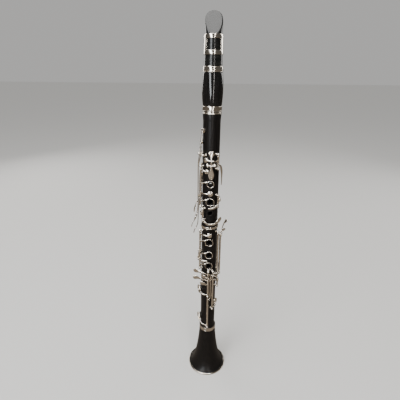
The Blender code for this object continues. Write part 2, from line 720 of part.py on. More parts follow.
def ligature(metal):
    """The ligature: two bands joined by a bar at each side, and two pairs of lugs at the back."""
    inner = [(mouth_radius(z) + GAP, z) for z in (LIGATURE_LOW, LIGATURE_TOP)]
    outline = [*inner, *[(radius + LIGATURE_SHEET, z) for radius, z in reversed(inner)]]
    shapes = [turned("ligature", outline, ROUND)]
    cuts = []
    for z in SCREW_HEIGHTS:
        shapes.append(block("lugs", (2 * LUG, MOUTH_HIGH + 0.7 * MM, SCREW_Y + 2.2 * MM), z - LUG, z + LUG))
        cuts.append(rod("hole", (-MOUTH_LOW, SCREW_Y, z), (MOUTH_LOW, SCREW_Y, z), SCREW + GAP))
    cuts.append(block("slit", (LUG, MOUTH_HIGH - 2 * MM, 2 * MOUTH_LOW), LIGATURE_LOW - 1 * MM, LIGATURE_TOP + 1 * MM))
    between = (LIGATURE_LOW + BAND_WIDTH, LIGATURE_TOP - BAND_WIDTH)
    cuts.append(block("front_window", (0.72 * MOUTH_LOW, -2 * MOUTH_LOW, -1 * MM), *between))
    cuts.append(block("back_window", (0.72 * MOUTH_LOW, 1 * MM, 2 * MOUTH_LOW), *between))
    return piece("ligature", shapes, metal, cuts)


def ligature_screw(name, z, metal):
    """One of the ligature's two screws: a shaft through the lugs and a flat round head."""
    shaft = rod(name, (-HEAD_X, SCREW_Y, z), (2 * LUG + 1.5 * MM, SCREW_Y, z), SCREW)
    head = rod(name, (-HEAD_X, SCREW_Y, z), (-HEAD_X + 1.6 * MM, SCREW_Y, z), SCREW_HEAD, DISC)
    return pinned(piece(name, [shaft, head], metal), Vector((0.0, SCREW_Y, z)))


# ---- the keys -----------------------------------------------------------------------------------


def bar(name, base, places, wide=ARM_WIDE, thick=ARM_THICK):
    """A flat bar through places of (azimuth, mm above the body, mm above the joint's end)."""
    path = [(azimuth, BODY + rise * MM, base(height * MM)) for azimuth, rise, height in places]
    return swept(name, path, wide, thick)


def cup_arm(name, base, places, cup_at):
    """A bar through places and on to the middle of a cup's top, with the cup."""
    azimuth, z, radius = cup_at
    path = [(turn, BODY + rise * MM, base(height * MM)) for turn, rise, height in places]
    path.append((azimuth, BODY + CUP_TOP, z))
    return [swept(name, path, ARM_WIDE, ARM_THICK), cup(name, azimuth, z, BODY + CLOSED, radius)]


def ring_arm(name, hinge, ring):
    """A finger ring in its closed place, with the bar that joins it to its hinge."""
    azimuth, z, radius = ring
    foot = BODY + RING_FOOT
    to_hinge = (hinge.azimuth - azimuth + 180) % 360 - 180
    side, face = radius - RING_BAR / 2, foot + RING_BAR / 2
    to_edge = degrees(atan2(side, face)) * (1 if to_hinge > 0 else -1)
    start = (azimuth + to_hinge, hinge.radius + 1.2 * MM, z)
    edge = (azimuth + to_edge, hypot(side, face), z)
    middle = ((start[0] + edge[0]) / 2, (start[1] + edge[1]) / 2, z)
    return [
        swept(name, [start, middle, edge], ARM_WIDE, [ARM_THICK, ARM_THICK, RING_BAR]),
        finger_ring(name, azimuth, z, foot, radius),
    ]


def pinned(made, pin, turn=0.0):
    """Moves the object's origin to its joint's axis at pin, then turns it about Z by that angle."""
    made.data.transform(Matrix.Translation(-pin))
    made.location = pin
    made.rotation_euler = (0.0, 0.0, turn)
    return made


def key(name, hinge, shapes, metal, turn=0.0, span=0):
    """A key whose shapes stand in its closed place, opened by turn, with room for its steel rod."""
    bore = hinge.bore(span) if isinstance(hinge, Hinge) else hinge.bore()
    return pinned(piece(name, shapes, metal, [bore]), hinge.pin, turn)


def upper_keys(metal):
    """The keys of the upper joint, in their places at rest."""
    made = []
    shapes = [A_PIVOT.tube("a")]
    shapes += cup_arm("a", up, [(0, 8.0, 112.0), (0, 8.4, 118.0), (0, 7.4, 125.0)], A_CUP)
    touch = [(0, 8.0, 112.0), (0, 7.8, 107.5), (0, 7.6, 102.5), (0, 7.6, 97.5), (0, 7.7, 92.0), (0, 7.9, 89.0)]
    shapes.append(bar("a", up, touch, [2.6 * MM, 4.0 * MM, 7.6 * MM, 9.0 * MM, 7.0 * MM, 3.0 * MM]))
    made.append(key("throat_a_key", A_PIVOT, shapes, metal))

    shapes = [G_SHARP.tube("g")]
    shapes += cup_arm("g", up, [(37, 5.7, 118.5), (18, 5.4, 119.0), (0, 5.0, 119.4)], G_SHARP_CUP)
    touch = [(37, 5.7, 113.0), (49, 6.0, 110.5), (60, 5.8, 103.0), (72, 5.2, 93.0), (78, 4.8, 83.0), (79, 4.7, 75.0)]
    shapes.append(bar("g", up, touch, [2.6 * MM, 4.0 * MM, 7.4 * MM, 9.0 * MM, 8.4 * MM, 4.4 * MM]))
    made.append(key("throat_g_sharp_key", G_SHARP, shapes, metal))

    shapes = [UPPER_RINGS.tube("rings")]
    shapes += ring_arm("rings", UPPER_RINGS, FIRST_RING_AT)
    shapes += ring_arm("rings", UPPER_RINGS, SECOND_RING_AT)
    shapes += cup_arm("rings", up, [(-64, 5.9, 63.3), (-40, 5.4, 63.3), (-18, 5.0, 63.3)], SECOND_VENT_CUP)
    shapes += cup_arm("rings", up, [(-64, 5.9, 103.0), (-46, 5.6, 103.0)], TOP_VENT_CUP)
    shapes.append(bar("rings", up, [(-64, 5.7, 77.0), (-74, 4.1, 77.0), (-97, 4.3, 77.0)], 2.4 * MM, 1.0 * MM))
    made.append(key("upper_ring_key", UPPER_RINGS, shapes, metal, UPPER_RINGS.turn(0, RING_LIFT)))

    shapes = [THUMB.tube("thumb")]
    shapes += ring_arm("thumb", THUMB, THUMB_RING_AT)
    tail = [(-146, 5.5, 76.5), (-136, 3.6, 77.0), (-117, 2.7, 77.0), (-96, 2.4, 77.0)]
    shapes.append(bar("thumb", up, tail, 2.4 * MM, 1.0 * MM))
    made.append(key("thumb_ring_key", THUMB, shapes, metal, THUMB.turn(180, RING_LIFT)))

    shapes = [REGISTER_PIVOT.tube("register")]
    shapes += cup_arm("register", up, [(180, 5.7, 128.0), (180, 6.4, 150.0), (180, 5.4, 164.0)], REGISTER_CUP)
    touch = [(180, 5.7, 128.0), (180, 7.0, 116.0), (180, 7.8, 106.0), (180, 7.8, 99.0), (180, 7.6, 93.0)]
    shapes.append(bar("register", up, touch, [2.6 * MM, 3.4 * MM, 7.0 * MM, 8.0 * MM, 4.0 * MM]))
    made.append(key("register_key", REGISTER_PIVOT, shapes, metal))

    shapes = [LEFT_SLIVER.tube("sliver")]
    shapes += cup_arm("sliver", up, [(44, 5.7, 48.0), (62, 5.6, 48.0)], LEFT_SLIVER_CUP)
    touch = [(44, 5.7, 43.0), (30, 5.6, 39.5), (10, 5.2, 37.0), (-12, 5.0, 36.2)]
    shapes.append(bar("sliver", up, touch, [2.6 * MM, 3.4 * MM, 3.4 * MM, 2.4 * MM]))
    made.append(key("left_sliver_key", LEFT_SLIVER, shapes, metal))

    shapes = [C_SHARP.tube("c")]
    shapes += cup_arm("c", up, [(-43, 5.7, 25.0), (-56, 5.4, 24.2)], C_SHARP_CUP)
    touch = [(-43, 5.7, 18.0), (-26, 6.6, 11.0), (-6, 6.6, 7.5), (18, 6.6, 7.5), (38, 6.9, 11.0), (50, 7.4, 14.5),
             (62, 8.2, 16.5)]
    wide = [2.6 * MM, 2.6 * MM, 2.6 * MM, 2.8 * MM, 6.0 * MM, 9.0 * MM, 8.0 * MM]
    shapes.append(bar("c", up, touch, wide))
    made.append(key("c_sharp_g_sharp_key", C_SHARP, shapes, metal))
    return made + side_keys(metal)


def side_keys(metal):
    """The four side keys: two see-saw levers on each of two pivots."""
    routes = (
        (
            TRILL_PIVOT, 0.3, 4.9,
            [(-58, 5.9, 128.0), (-58, 5.8, 148.0)],
            [(-58, 5.9, 128.0), (-66, 7.0, 118.0), (-75, 7.6, 106.0), (-76, 7.6, 50.0), (-76, 10.5, 42.0),
             (-75, 13.6, 34.0), (-75, 15.0, 26.0)],
        ),
        (
            TRILL_PIVOT, -4.9, -0.3,
            [(-74, 5.9, 128.0), (-76, 5.4, 136.0)],
            [(-74, 5.9, 128.0), (-80, 7.0, 118.0), (-86, 7.6, 106.0), (-86, 7.6, 30.0), (-85, 9.4, 22.0),
             (-84, 12.0, 14.5), (-84, 13.6, 8.0)],
        ),
        (
            SIDE_PIVOT, 0.3, 4.9,
            [(-111, 5.9, 53.0), (-111, 6.0, 75.0), (-112, 5.4, 98.0)],
            [(-111, 5.9, 53.0), (-106, 7.2, 44.0), (-101, 8.2, 28.0), (-101, 10.0, 12.0), (-101, 14.0, 4.0),
             (-101, 18.0, -4.0), (-101, 19.4, -10.0)],
        ),
        (
            SIDE_PIVOT, -4.9, -0.3,
            [(-127, 5.9, 53.0), (-129, 5.8, 70.0)],
            [(-127, 5.9, 53.0), (-119, 7.2, 42.0), (-113, 8.2, 20.0), (-111, 8.6, 0.0), (-109, 11.0, -10.0),
             (-107, 14.5, -17.0), (-106, 15.8, -23.0)],
        ),
    )
    wide = [2.4 * MM, 2.4 * MM, 2.4 * MM, 2.4 * MM, 3.2 * MM, 6.0 * MM, 4.6 * MM]
    made = []
    for number, (pivot, start, end, upward, downward) in enumerate(routes, 1):
        name = f"side_key_{number}"
        shapes = [pivot.tube(name, start * MM, end * MM)]
        shapes += cup_arm(name, up, upward, SIDE_CUPS[number - 1])
        shapes.append(bar(name, up, downward, wide, 1.2 * MM))
        made.append(key(name, pivot, shapes, metal))
    return made


def lower_keys(metal):
    """The keys of the lower joint, in their places at rest."""
    made = []
    shapes = [LOWER_RINGS.tube("rings")]
    for ring in RIGHT_RINGS:
        shapes += ring_arm("rings", LOWER_RINGS, ring)
    shapes += cup_arm("rings", low, [(-64, 5.9, 211.0), (-40, 5.4, 211.0), (-18, 5.0, 211.0)], LOW_VENT_CUP)
    made.append(key("lower_ring_key", LOWER_RINGS, shapes, metal, LOWER_RINGS.turn(0, RING_LIFT)))

    shapes = [RIGHT_SLIVER.tube("sliver")]
    shapes += cup_arm("sliver", low, [(-86, 5.7, 164.0), (-104, 5.4, 164.0)], RIGHT_SLIVER_CUP)
    touch = [(-86, 5.9, 159.0), (-76, 8.2, 158.8), (-64, 9.0, 158.6), (-46, 8.4, 158.6), (-24, 6.4, 158.7),
             (-8, 5.8, 158.8)]
    shapes.append(bar("sliver", low, touch, [2.6 * MM, 2.6 * MM, 2.6 * MM, 3.2 * MM, 3.8 * MM, 2.4 * MM]))
    made.append(key("right_sliver_key", RIGHT_SLIVER, shapes, metal))

    shapes = [LONG_ROD.tube("f", 1)]
    shapes += cup_arm("f", low, [(-4, 5.7, 84.4), (-25, 6.4, 85.0), (-50, 5.8, 86.4)], F_CUP)
    touch = [(-4, 5.7, 107.5), (-14, 6.8, 109.0), (-24, 8.0, 111.0), (-34, 9.0, 112.0), (-43, 10.0, 112.5)]
    shapes.append(bar("f", low, touch, [2.6 * MM, 3.0 * MM, 6.0 * MM, 7.0 * MM, 5.0 * MM]))
    made.append(key("f_c_key", LONG_ROD, shapes, metal, LONG_ROD.turn(F_CUP[0], PAD_LIFT), 1))

    shapes = [LONG_ROD.tube("e")]
    shapes += cup_arm("e", low, [(-4, 5.7, 10.5), (-25, 6.2, 12.0), (-50, 5.6, 16.0)], E_CUP)
    tube_top = (HINGE_RISE + TUBE) / MM
    riser = [(-4, 5.7, 73.0), (4, 6.0, 74.5), (10, 5.4, 78.0), (10, 5.0, 84.0), (10, 5.0, 126.0),
             (17, tube_top + 1.5, 128.4), (24, tube_top + 2.9, 128.6), (38, tube_top + 3.8, 128.6)]
    shapes.append(bar("e", low, riser, 2.2 * MM, 1.1 * MM))
    touch = [(11, 5.0, 116.0), (4, 7.3, 117.0), (-4, 7.6, 118.0), (-16, 7.8, 119.0), (-38, 9.2, 121.5),
             (-51, 11.8, 123.0), (-59, 15.0, 123.4), (-64, 18.4, 123.4)]
    wide = [2.2 * MM, 2.4 * MM, 2.6 * MM, 2.6 * MM, 3.4 * MM, 6.0 * MM, 8.0 * MM, 6.0 * MM]
    shapes.append(bar("e", low, touch, wide))
    made.append(key("e_b_key", LONG_ROD, shapes, metal, LONG_ROD.turn(E_CUP[0], PAD_LIFT)))

    shapes = [F_SHARP_ROD.tube("s")]
    shapes += cup_arm("s", low, [(24, 5.7, 55.0), (40, 5.9, 55.8)], F_SHARP_CUP)
    touch = [(24, 5.7, 131.6), (12, 8.6, 131.9), (-4, 9.6, 133.2), (-20, 10.8, 135.6), (-40, 12.6, 137.2),
             (-54, 15.2, 137.6), (-62, 18.4, 137.6)]
    shapes.append(bar("s", low, touch, [2.0 * MM, 2.2 * MM, 2.4 * MM, 2.8 * MM, 4.0 * MM, 8.0 * MM, 7.0 * MM]))
    shapes.append(bar("s", low, [(24, 5.7, 131.8), (31, 7.2, 132.2), (39, 8.2, 132.2)], 2.0 * MM, 1.0 * MM))
    made.append(key("f_sharp_c_sharp_key", F_SHARP_ROD, shapes, metal))

    shapes = [A_FLAT_ROD.tube("h")]
    shapes += cup_arm("h", low, [(62, 5.7, 107.0), (80, 5.4, 108.0)], A_FLAT_CUP)
    touch = [(62, 5.7, 112.0), (52, 8.4, 115.0), (38, 9.6, 118.5), (22, 10.2, 121.5), (8, 10.4, 123.6),
             (-6, 10.6, 125.6), (-16, 10.6, 127.4), (-27, 10.6, 129.0), (-36, 10.8, 129.8)]
    wide = [2.6 * MM, 2.6 * MM, 2.6 * MM, 2.6 * MM, 2.8 * MM, 3.4 * MM, 6.0 * MM, 7.0 * MM, 5.0 * MM]
    shapes.append(bar("h", low, touch, wide))
    made.append(key("a_flat_e_flat_key", A_FLAT_ROD, shapes, metal))

    shapes = [LEFT_F_SHARP.tube("lf")]
    shapes.append(bar("lf", low, [(54, 5.7, 131.0), (46, 6.5, 132.2), (37, 6.8, 132.2)], 2.2 * MM, 1.0 * MM))
    touch = [(54, 5.7, 209.0), (62, 8.0, 214.0), (71, 11.6, 218.0), (77, 15.0, 219.5)]
    shapes.append(bar("lf", low, touch, [2.6 * MM, 4.0 * MM, 7.0 * MM, 5.0 * MM]))
    made.append(key("left_f_sharp_lever", LEFT_F_SHARP, shapes, metal))

    shapes = [LEFT_E.tube("le")]
    hook = [(80, 7.1, 129.5), (66, 8.4, 128.6), (54, 8.2, 128.6), (36, 7.0, 128.6)]
    shapes.append(bar("le", low, hook, 2.2 * MM, 1.0 * MM))
    touch = [(80, 7.1, 201.0), (92, 8.8, 204.0), (99, 9.8, 216.0), (95, 12.4, 226.0), (89, 15.2, 232.0),
             (85, 17.6, 234.0)]
    shapes.append(bar("le", low, touch, [2.6 * MM, 2.6 * MM, 3.0 * MM, 4.4 * MM, 7.0 * MM, 5.0 * MM]))
    made.append(key("left_e_b_lever", LEFT_E, shapes, metal))
    return made


# ---- the thumb rest and the whole ---------------------------------------------------------------

THUMB_SCREWS = (low(0.1555), low(0.1760))


def thumb_rest(metal):
    """The plate on the back with its hook, which the right thumb carries the weight by."""
    near, far = BODY + GAP + 0.2 * MM, BODY + GAP + 0.2 * MM + REST_PLATE
    start, end = low(0.1520), low(0.1795)
    hook = low(0.1640)
    outline = [
        (near, start),
        (far, start),
        (far, hook - 1.0 * MM),
        (far + 0.7 * REST_REACH, hook - 2.0 * MM),
        (far + REST_REACH, hook - 5.5 * MM),
        (far + REST_REACH + 1.6 * MM, hook - 4.4 * MM),
        (far + 0.8 * REST_REACH, hook + 0.4 * MM),
        (far, hook + 1.6 * MM),
        (far, end),
        (near, end),
    ]
    holes = [rod("hole", spot(180, BODY - 1 * MM, z), spot(180, BODY + 4 * MM, z), SCREW_HOLE) for z in THUMB_SCREWS]
    return piece("thumb_rest", [extruded("thumb_rest", outline, REST_WIDE)], metal, holes)


def thumb_rest_screw(name, z, metal):
    """One of the two wood screws that hold the thumb rest."""
    seat = BODY + GAP + 0.2 * MM + REST_PLATE + GAP
    shaft = rod(name, spot(180, SCREW_TIP, z), spot(180, seat + 0.5 * MM, z), THUMB_SCREW)
    head = rod(name, spot(180, seat, z), spot(180, seat + 1.1 * MM, z), 2.2 * THUMB_SCREW, DISC)
    return piece(name, [shaft, head], metal)


def clear_scene():
    """Removes everything that the scene starts with."""
    for old in list(bpy.data.objects):
        bpy.data.objects.remove(old)


def attach(parent, children):
    """Parents the children to a body that already stands at the origin."""
    for child in children:
        child.parent = parent


def clarinet():
    """The whole instrument, each section's pieces under the section that carries them."""
    wood = material("black_wood", (0.012, 0.011, 0.011), 0.34)
    rubber = material("mouthpiece_rubber", (0.010, 0.010, 0.010), 0.22)
    plate = material("silver_plate", (0.86, 0.83, 0.78), 0.18, 1.0)
    steel = material("blued_steel", (0.42, 0.41, 0.40), 0.30, 1.0)
    cane = material("cane", (0.72, 0.58, 0.32), 0.55)
    cork_material = material("cork", (0.55, 0.38, 0.22), 0.85)

    upper = upper_joint(wood)
    attach(upper, upper_keys(plate))
    attach(upper, [hinge.steel(name, steel) for name, hinge in UPPER_HINGES.items()])
    lined = [lining("thumb_hole_tube", THUMB_RING_AT, THUMB_TUBE, THUMB_TUBE_WALL, 2.2 * MM, plate)]
    lined.append(lining("register_vent_tube", REGISTER_CUP, VENT_TUBE, VENT_TUBE_WALL, SEAT, plate))
    attach(upper, lined)

    lower = lower_joint(wood)
    attach(lower, lower_keys(plate))
    attach(lower, [hinge.steel(name, steel) for name, hinge in LOWER_HINGES.items()])
    screws = zip(("thumb_rest_screw_lower", "thumb_rest_screw_upper"), THUMB_SCREWS)
    attach(lower, [thumb_rest(plate), *[thumb_rest_screw(name, z, plate) for name, z in screws]])

    bell(wood)
    bell_fittings(plate)
    barrel(wood)
    barrel_fittings(plate)
    mouthpiece(rubber)
    reed(cane)
    ligature(plate)
    ligature_screw("ligature_screw_upper", SCREW_HEIGHTS[0], plate)
    ligature_screw("ligature_screw_lower", SCREW_HEIGHTS[1], plate)
    cork("bell_tenon_cork", LOWER_BASE + GAP / 2, -1, cork_material)
    cork("middle_tenon_cork", UPPER_BASE + GAP / 2, -1, cork_material, MIDDLE_TENON)
    cork("upper_tenon_cork", BARREL_BASE - GAP / 2, 1, cork_material)
    cork("mouthpiece_cork", MOUTH_LOW_Z + GAP / 2, -1, cork_material)


clear_scene()
clarinet()
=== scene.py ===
"""The finished look of a B flat clarinet: black wood, plated keys, mouthpiece, reed and ligature.

Metres, +Z up along the bore, the finger holes facing -Y. A place on the body is an azimuth in
degrees (0 at the front, growing towards +X), a radius or a rise above the body, and a height.
"""

import logging
from dataclasses import dataclass, field
from enum import Enum
from math import atan2, cos, degrees, hypot, pi, radians, sin

import bmesh
import bpy
import numpy as np
from mathutils import Matrix, Vector


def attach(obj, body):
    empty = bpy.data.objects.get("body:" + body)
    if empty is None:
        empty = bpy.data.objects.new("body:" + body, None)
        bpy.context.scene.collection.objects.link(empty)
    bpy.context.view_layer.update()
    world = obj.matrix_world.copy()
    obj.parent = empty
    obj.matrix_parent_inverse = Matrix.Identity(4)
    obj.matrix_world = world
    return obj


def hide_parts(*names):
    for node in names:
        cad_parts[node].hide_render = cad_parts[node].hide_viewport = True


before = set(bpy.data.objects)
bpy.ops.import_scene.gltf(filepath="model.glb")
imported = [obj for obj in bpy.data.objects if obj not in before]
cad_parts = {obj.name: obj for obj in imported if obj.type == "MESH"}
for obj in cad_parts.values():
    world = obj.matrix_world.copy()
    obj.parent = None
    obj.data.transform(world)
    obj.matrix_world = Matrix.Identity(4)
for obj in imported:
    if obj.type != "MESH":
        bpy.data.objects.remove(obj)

LOG = logging.getLogger("clarinet")
Array = np.ndarray
MM = 0.001
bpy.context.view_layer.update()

LOWER_BASE, UPPER_BASE, BARREL_BASE, MOUTH_BASE, TIP = 0.104, 0.330, 0.525, 0.590, 0.663
BORE = 0.0074
BODY = 0.0139
SOCKET = 0.0115
GAP = 0.0003
TENON = SOCKET - GAP - 0.0002
CORK_THICK = 0.0010
CORK_SPAN = (0.20, 0.82)
TENON_LENGTH = 0.0165
MIDDLE_TENON = 0.0105
HINGE_RISE = 0.0047
POST_BALL = 0.0023
TUBE = 0.0020
SEAT = 0.0013
CUP_TALL = 0.0028
CHIMNEY = 0.0024
RING_BAR = 0.0012
PAD_FOOT = SEAT + GAP
RING_FOOT = CHIMNEY - RING_BAR


class Way(Enum):
    """The direction in which a tenon points."""

    UP = 1
    DOWN = -1


class Tone(Enum):
    """How a tone hole ends at the surface."""

    PADDED = "padded"
    RINGED = "ringed"
    PLAIN = "plain"


# ---- surfaces -----------------------------------------------------------------------------------


@dataclass
class Shape:
    """A closed surface of four-sided faces; finish picks one of its piece's materials."""

    points: Array
    faces: Array
    finish: int = 0

    def placed(self, rows: Array) -> "Shape":
        """Returns the shape moved by a 4 by 4 matrix."""
        return Shape(self.points @ rows[:3, :3].T + rows[:3, 3], self.faces, self.finish)

    def painted(self, finish: int) -> "Shape":
        """Returns the shape with another of the piece's materials."""
        return Shape(self.points, self.faces, finish)


def polar(azimuth: Array | float, radius: Array | float, z: Array | float) -> Array:
    """Points at azimuth, radius and height: x is r sin a, and y is minus r cos a.

    Args:
        azimuth: Degrees round the body from the front.
        radius: Distance from the bore's axis.
        z: Height.

    Returns:
        The points, with x, y and z along the last axis.
    """
    turn, radius, z = np.broadcast_arrays(np.radians(azimuth), radius, z)
    return np.stack([radius * np.sin(turn), -radius * np.cos(turn), z], axis=-1)


def facing(azimuth: float, radius: float, z: float) -> Array:
    """A frame on the body: its X runs round it, its Y along it and its Z away from it.

    Args:
        azimuth: Degrees round the body.
        radius: Distance of the frame's origin from the axis.
        z: Height of the origin.

    Returns:
        The frame as a 4 by 4 matrix.
    """
    rows = np.eye(4)
    rows[:3, 0] = (cos(radians(azimuth)), sin(radians(azimuth)), 0.0)
    rows[:3, 1] = (0.0, 0.0, 1.0)
    rows[:3, 2] = polar(azimuth, 1.0, 0.0)
    rows[:3, 3] = polar(azimuth, radius, z)
    return rows


def skin(rows: Array, loop: bool = False, finish: int = 0) -> Shape:
    """Joins rows of points, each a closed ring, into one closed surface.

    Args:
        rows: Points, with one ring for each entry of the first axis.
        loop: Whether the last ring joins the first; otherwise each end is closed to its middle.
        finish: The index of the material.

    Returns:
        The closed surface.
    """
    if not loop:
        first, last = (np.broadcast_to(rows[i].mean(axis=0), rows[i].shape) for i in (0, -1))
        rows = np.concatenate([first[None], rows, last[None]])
    count, around = rows.shape[:2]
    i = np.arange(count if loop else count - 1)[:, None]
    j = np.arange(around)[None, :]
    on, beside = (i + 1) % count, (j + 1) % around
    corners = (i * around + j, i * around + beside, on * around + beside, on * around + j)
    return Shape(rows.reshape(-1, 3), np.stack(corners, axis=-1).reshape(-1, 4), finish)


def softened(outline: Array | list, radius: float, steps: int = 4, loop: bool = False) -> Array:
    """Rounds each corner of an outline with a curve that leaves and meets its sides smoothly.

    Each corner becomes the quadratic curve from a point on one side, drawn towards the corner, to
    a point on the next.

    Args:
        outline: Points of the outline.
        radius: How far from each corner the curve starts, limited by the sides.
        steps: Points in each curve.
        loop: Whether the outline is closed, so that its ends are corners too.

    Returns:
        The points of the softened outline.
    """
    points = np.asarray(outline, float)
    before, after = np.roll(points, 1, axis=0), np.roll(points, -1, axis=0)
    back, ahead = before - points, after - points
    long_back = np.linalg.norm(back, axis=1, keepdims=True) + 1e-12
    long_ahead = np.linalg.norm(ahead, axis=1, keepdims=True) + 1e-12
    start = points + back / long_back * np.minimum(radius, 0.45 * long_back)
    end = points + ahead / long_ahead * np.minimum(radius, 0.45 * long_ahead)
    t = np.linspace(0, 1, steps)[None, :, None]
    curves = (1 - t) ** 2 * start[:, None] + 2 * t * (1 - t) * points[:, None] + t**2 * end[:, None]
    if loop:
        return curves.reshape(-1, points.shape[1])
    middle = curves[1:-1].reshape(-1, points.shape[1])
    return np.concatenate([points[:1], middle, points[-1:]])


def lathe(outline: Array | list, sides: int, rows: Array | None = None, finish: int = 0) -> Shape:
    """Turns an outline of (radius, height) points round Z.

    Args:
        outline: The points; an outline that starts off the axis is closed into a tube.
        sides: Points round each ring.
        rows: A 4 by 4 matrix that places the result.
        finish: The index of the material.

    Returns:
        The turned surface.
    """
    points = np.asarray(outline, float)
    turn = np.linspace(0, 2 * pi, sides, endpoint=False)
    radius, z = points[:, :1], np.repeat(points[:, 1:], sides, axis=1)
    grid = np.stack([radius * np.cos(turn), radius * np.sin(turn), z], axis=-1)
    made = skin(grid, loop=points[0, 0] > 0.0, finish=finish)
    return made if rows is None else made.placed(rows)


def along(start: Array | list, end: Array | list) -> tuple[Array, float]:
    """A frame whose Z runs from start to end, and the distance between them.

    Args:
        start: Where the frame stands.
        end: Where its Z points.

    Returns:
        The frame as a four by four matrix, and the distance.
    """
    run = Vector(end) - Vector(start)
    turn = run.to_track_quat("Z", "Y").to_matrix().to_4x4()
    return np.array(Matrix.Translation(Vector(start)) @ turn), run.length


def rod(start: Array | list, end: Array | list, radius: float, sides: int = 24,
        edge: float = 0.2 * MM) -> Shape:
    """A round bar from start to end with softened edges.

    Args:
        start: One end's centre.
        end: The other end's centre.
        radius: Its radius.
        sides: Points round it.
        edge: How far its edges are rounded.

    Returns:
        The bar.
    """
    rows, length = along(start, end)
    outline = softened([(0.0, 0.0), (radius, 0.0), (radius, length), (0.0, length)], edge)
    return lathe(outline, sides, rows)


def eased(knots: Array, values: Array, at: Array) -> Array:
    """A smooth curve through values that never overshoots them.

    Between two knots each column is the cubic whose slopes at the knots are the harmonic mean of
    the slopes on either side, or zero where those differ in sign.

    Args:
        knots: Growing positions, one for each row of values.
        values: What to follow, one column for each quantity.
        at: The positions to read.

    Returns:
        The values at those positions.
    """
    step = np.diff(knots)[:, None]
    slope = np.diff(values, axis=0) / step
    before, after = slope[:-1], slope[1:]
    same = before * after > 0
    mean = np.where(same, 2 * before * after / np.where(same, before + after, 1.0), 0.0)
    lean = np.concatenate([slope[:1], mean, slope[-1:]])
    i = np.clip(np.searchsorted(knots, at, side="right") - 1, 0, len(knots) - 2)
    h = step[i]
    t = ((at - knots[i])[:, None]) / h
    rise = (3 - 2 * t) * t**2
    return (
        values[i] * (1 - rise)
        + values[i + 1] * rise
        + h * lean[i] * t * (1 - t) ** 2
        - h * lean[i + 1] * t**2 * (1 - t)
    )


@dataclass(frozen=True)
class Bar:
    """A flat bar through places of (azimuth, mm above the body, mm above the joint's end, mm wide).

    thick is in mm. round_start and round_end say which ends are shaped as half a circle, and
    across keeps the bar's flat side level for one that stands straight out from the body.
    """

    places: tuple[tuple[float, float, float, float], ...]
    thick: float = 1.3
    round_start: bool = False
    round_end: bool = True
    across: bool = False
    power: float = 2.6

    def shape(self, base: float, rows: int = 12, around: int = 20) -> Shape:
        """The bar's surface: a rounded section carried along the smooth curve through its places.

        The section is a superellipse: the cosine and sine of the turn, each raised to 2 / power
        with its sign kept. At a rounded end the width shrinks as the half chord of a circle.

        Args:
            base: Height of the joint's lower end.
            rows: Rings for each span between two places.
            around: Points round each ring.

        Returns:
            The bar.
        """
        table = np.array(self.places, float)
        knots3 = polar(table[:, 0], BODY + table[:, 1] * MM, base + table[:, 2] * MM)
        knots = np.concatenate([[0.0], np.cumsum(np.linalg.norm(np.diff(knots3, axis=0), axis=1))])
        total = knots[-1]
        share = np.linspace(0, 1, rows * (len(table) - 1) + 1)
        at = total * (0.5 * share + 0.25 * (1 - np.cos(pi * share)))
        azimuth, rise, height, wide = eased(knots, table, at).T
        middle = polar(azimuth, BODY + rise * MM, base + height * MM)
        run = np.gradient(middle, at, axis=0)
        run /= np.linalg.norm(run, axis=1, keepdims=True)
        away = polar(azimuth, 1.0, 0.0)
        side = polar(azimuth + 90.0, 1.0, 0.0) if self.across else np.cross(run, away)
        side /= np.linalg.norm(side, axis=1, keepdims=True)
        up = np.cross(side, run)
        half_wide, half_thick = wide * MM / 2, np.full_like(wide, self.thick * MM / 2)
        for reach, rounded in ((at, self.round_start), (total - at, self.round_end)):
            long = half_wide[0 if reach is at else -1] if rounded else 0.3 * MM
            part = 1 - np.clip(reach / long, 0.02, 1)
            half_wide = half_wide * (np.sqrt(1 - part**2) if rounded
                                     else 0.85 + 0.15 * np.sqrt(1 - part**2))
            edge = 1 - np.clip(reach / (half_thick * 0.9), 0.02, 1)
            half_thick = half_thick * np.sqrt(1 - edge**2)
        turn = np.linspace(0, 2 * pi, around, endpoint=False)
        wave = np.stack([np.cos(turn), np.sin(turn)])
        wave = np.sign(wave) * np.abs(wave) ** (2 / self.power)
        grid = middle[:, None] + side[:, None] * (half_wide[:, None] * wave[0])[..., None]
        return skin(grid + up[:, None] * (half_thick[:, None] * wave[1])[..., None])


# ---- pieces -------------------------------------------------------------------------------------


def mesh_object(name: str, shapes: list[Shape],
                finishes: list[bpy.types.Material]) -> bpy.types.Object:
    """Makes one object at the origin from several closed shapes, with smooth faces and crisp edges.

    Args:
        name: The object's name.
        shapes: The closed surfaces.
        finishes: The materials that the shapes' indices pick from.

    Returns:
        The object.
    """
    starts = np.cumsum([0] + [len(shape.points) for shape in shapes[:-1]])
    points = np.concatenate([shape.points for shape in shapes])
    faces = np.concatenate([shape.faces + start for shape, start in zip(shapes, starts)])
    kinds = np.concatenate([np.full(len(shape.faces), shape.finish) for shape in shapes])
    mesh = bpy.data.meshes.new(name)
    mesh.from_pydata(points.tolist(), [], faces.tolist())
    for finish in finishes:
        mesh.materials.append(finish)
    mesh.polygons.foreach_set("material_index", kinds.astype(np.int32))
    shell = bmesh.new()
    shell.from_mesh(mesh)
    bmesh.ops.remove_doubles(shell, verts=shell.verts, dist=1e-7)
    bmesh.ops.recalc_face_normals(shell, faces=shell.faces)
    shell.to_mesh(mesh)
    shell.free()
    made = bpy.data.objects.new(name, mesh)
    bpy.context.scene.collection.objects.link(made)
    smoothed(made)
    return made


def smoothed(made: bpy.types.Object, angle: float = 38.0) -> None:
    """Shades the object smooth, with edges past that angle in degrees kept crisp."""
    made.data.shade_smooth()
    made.data.set_sharp_from_angle(angle=radians(angle))


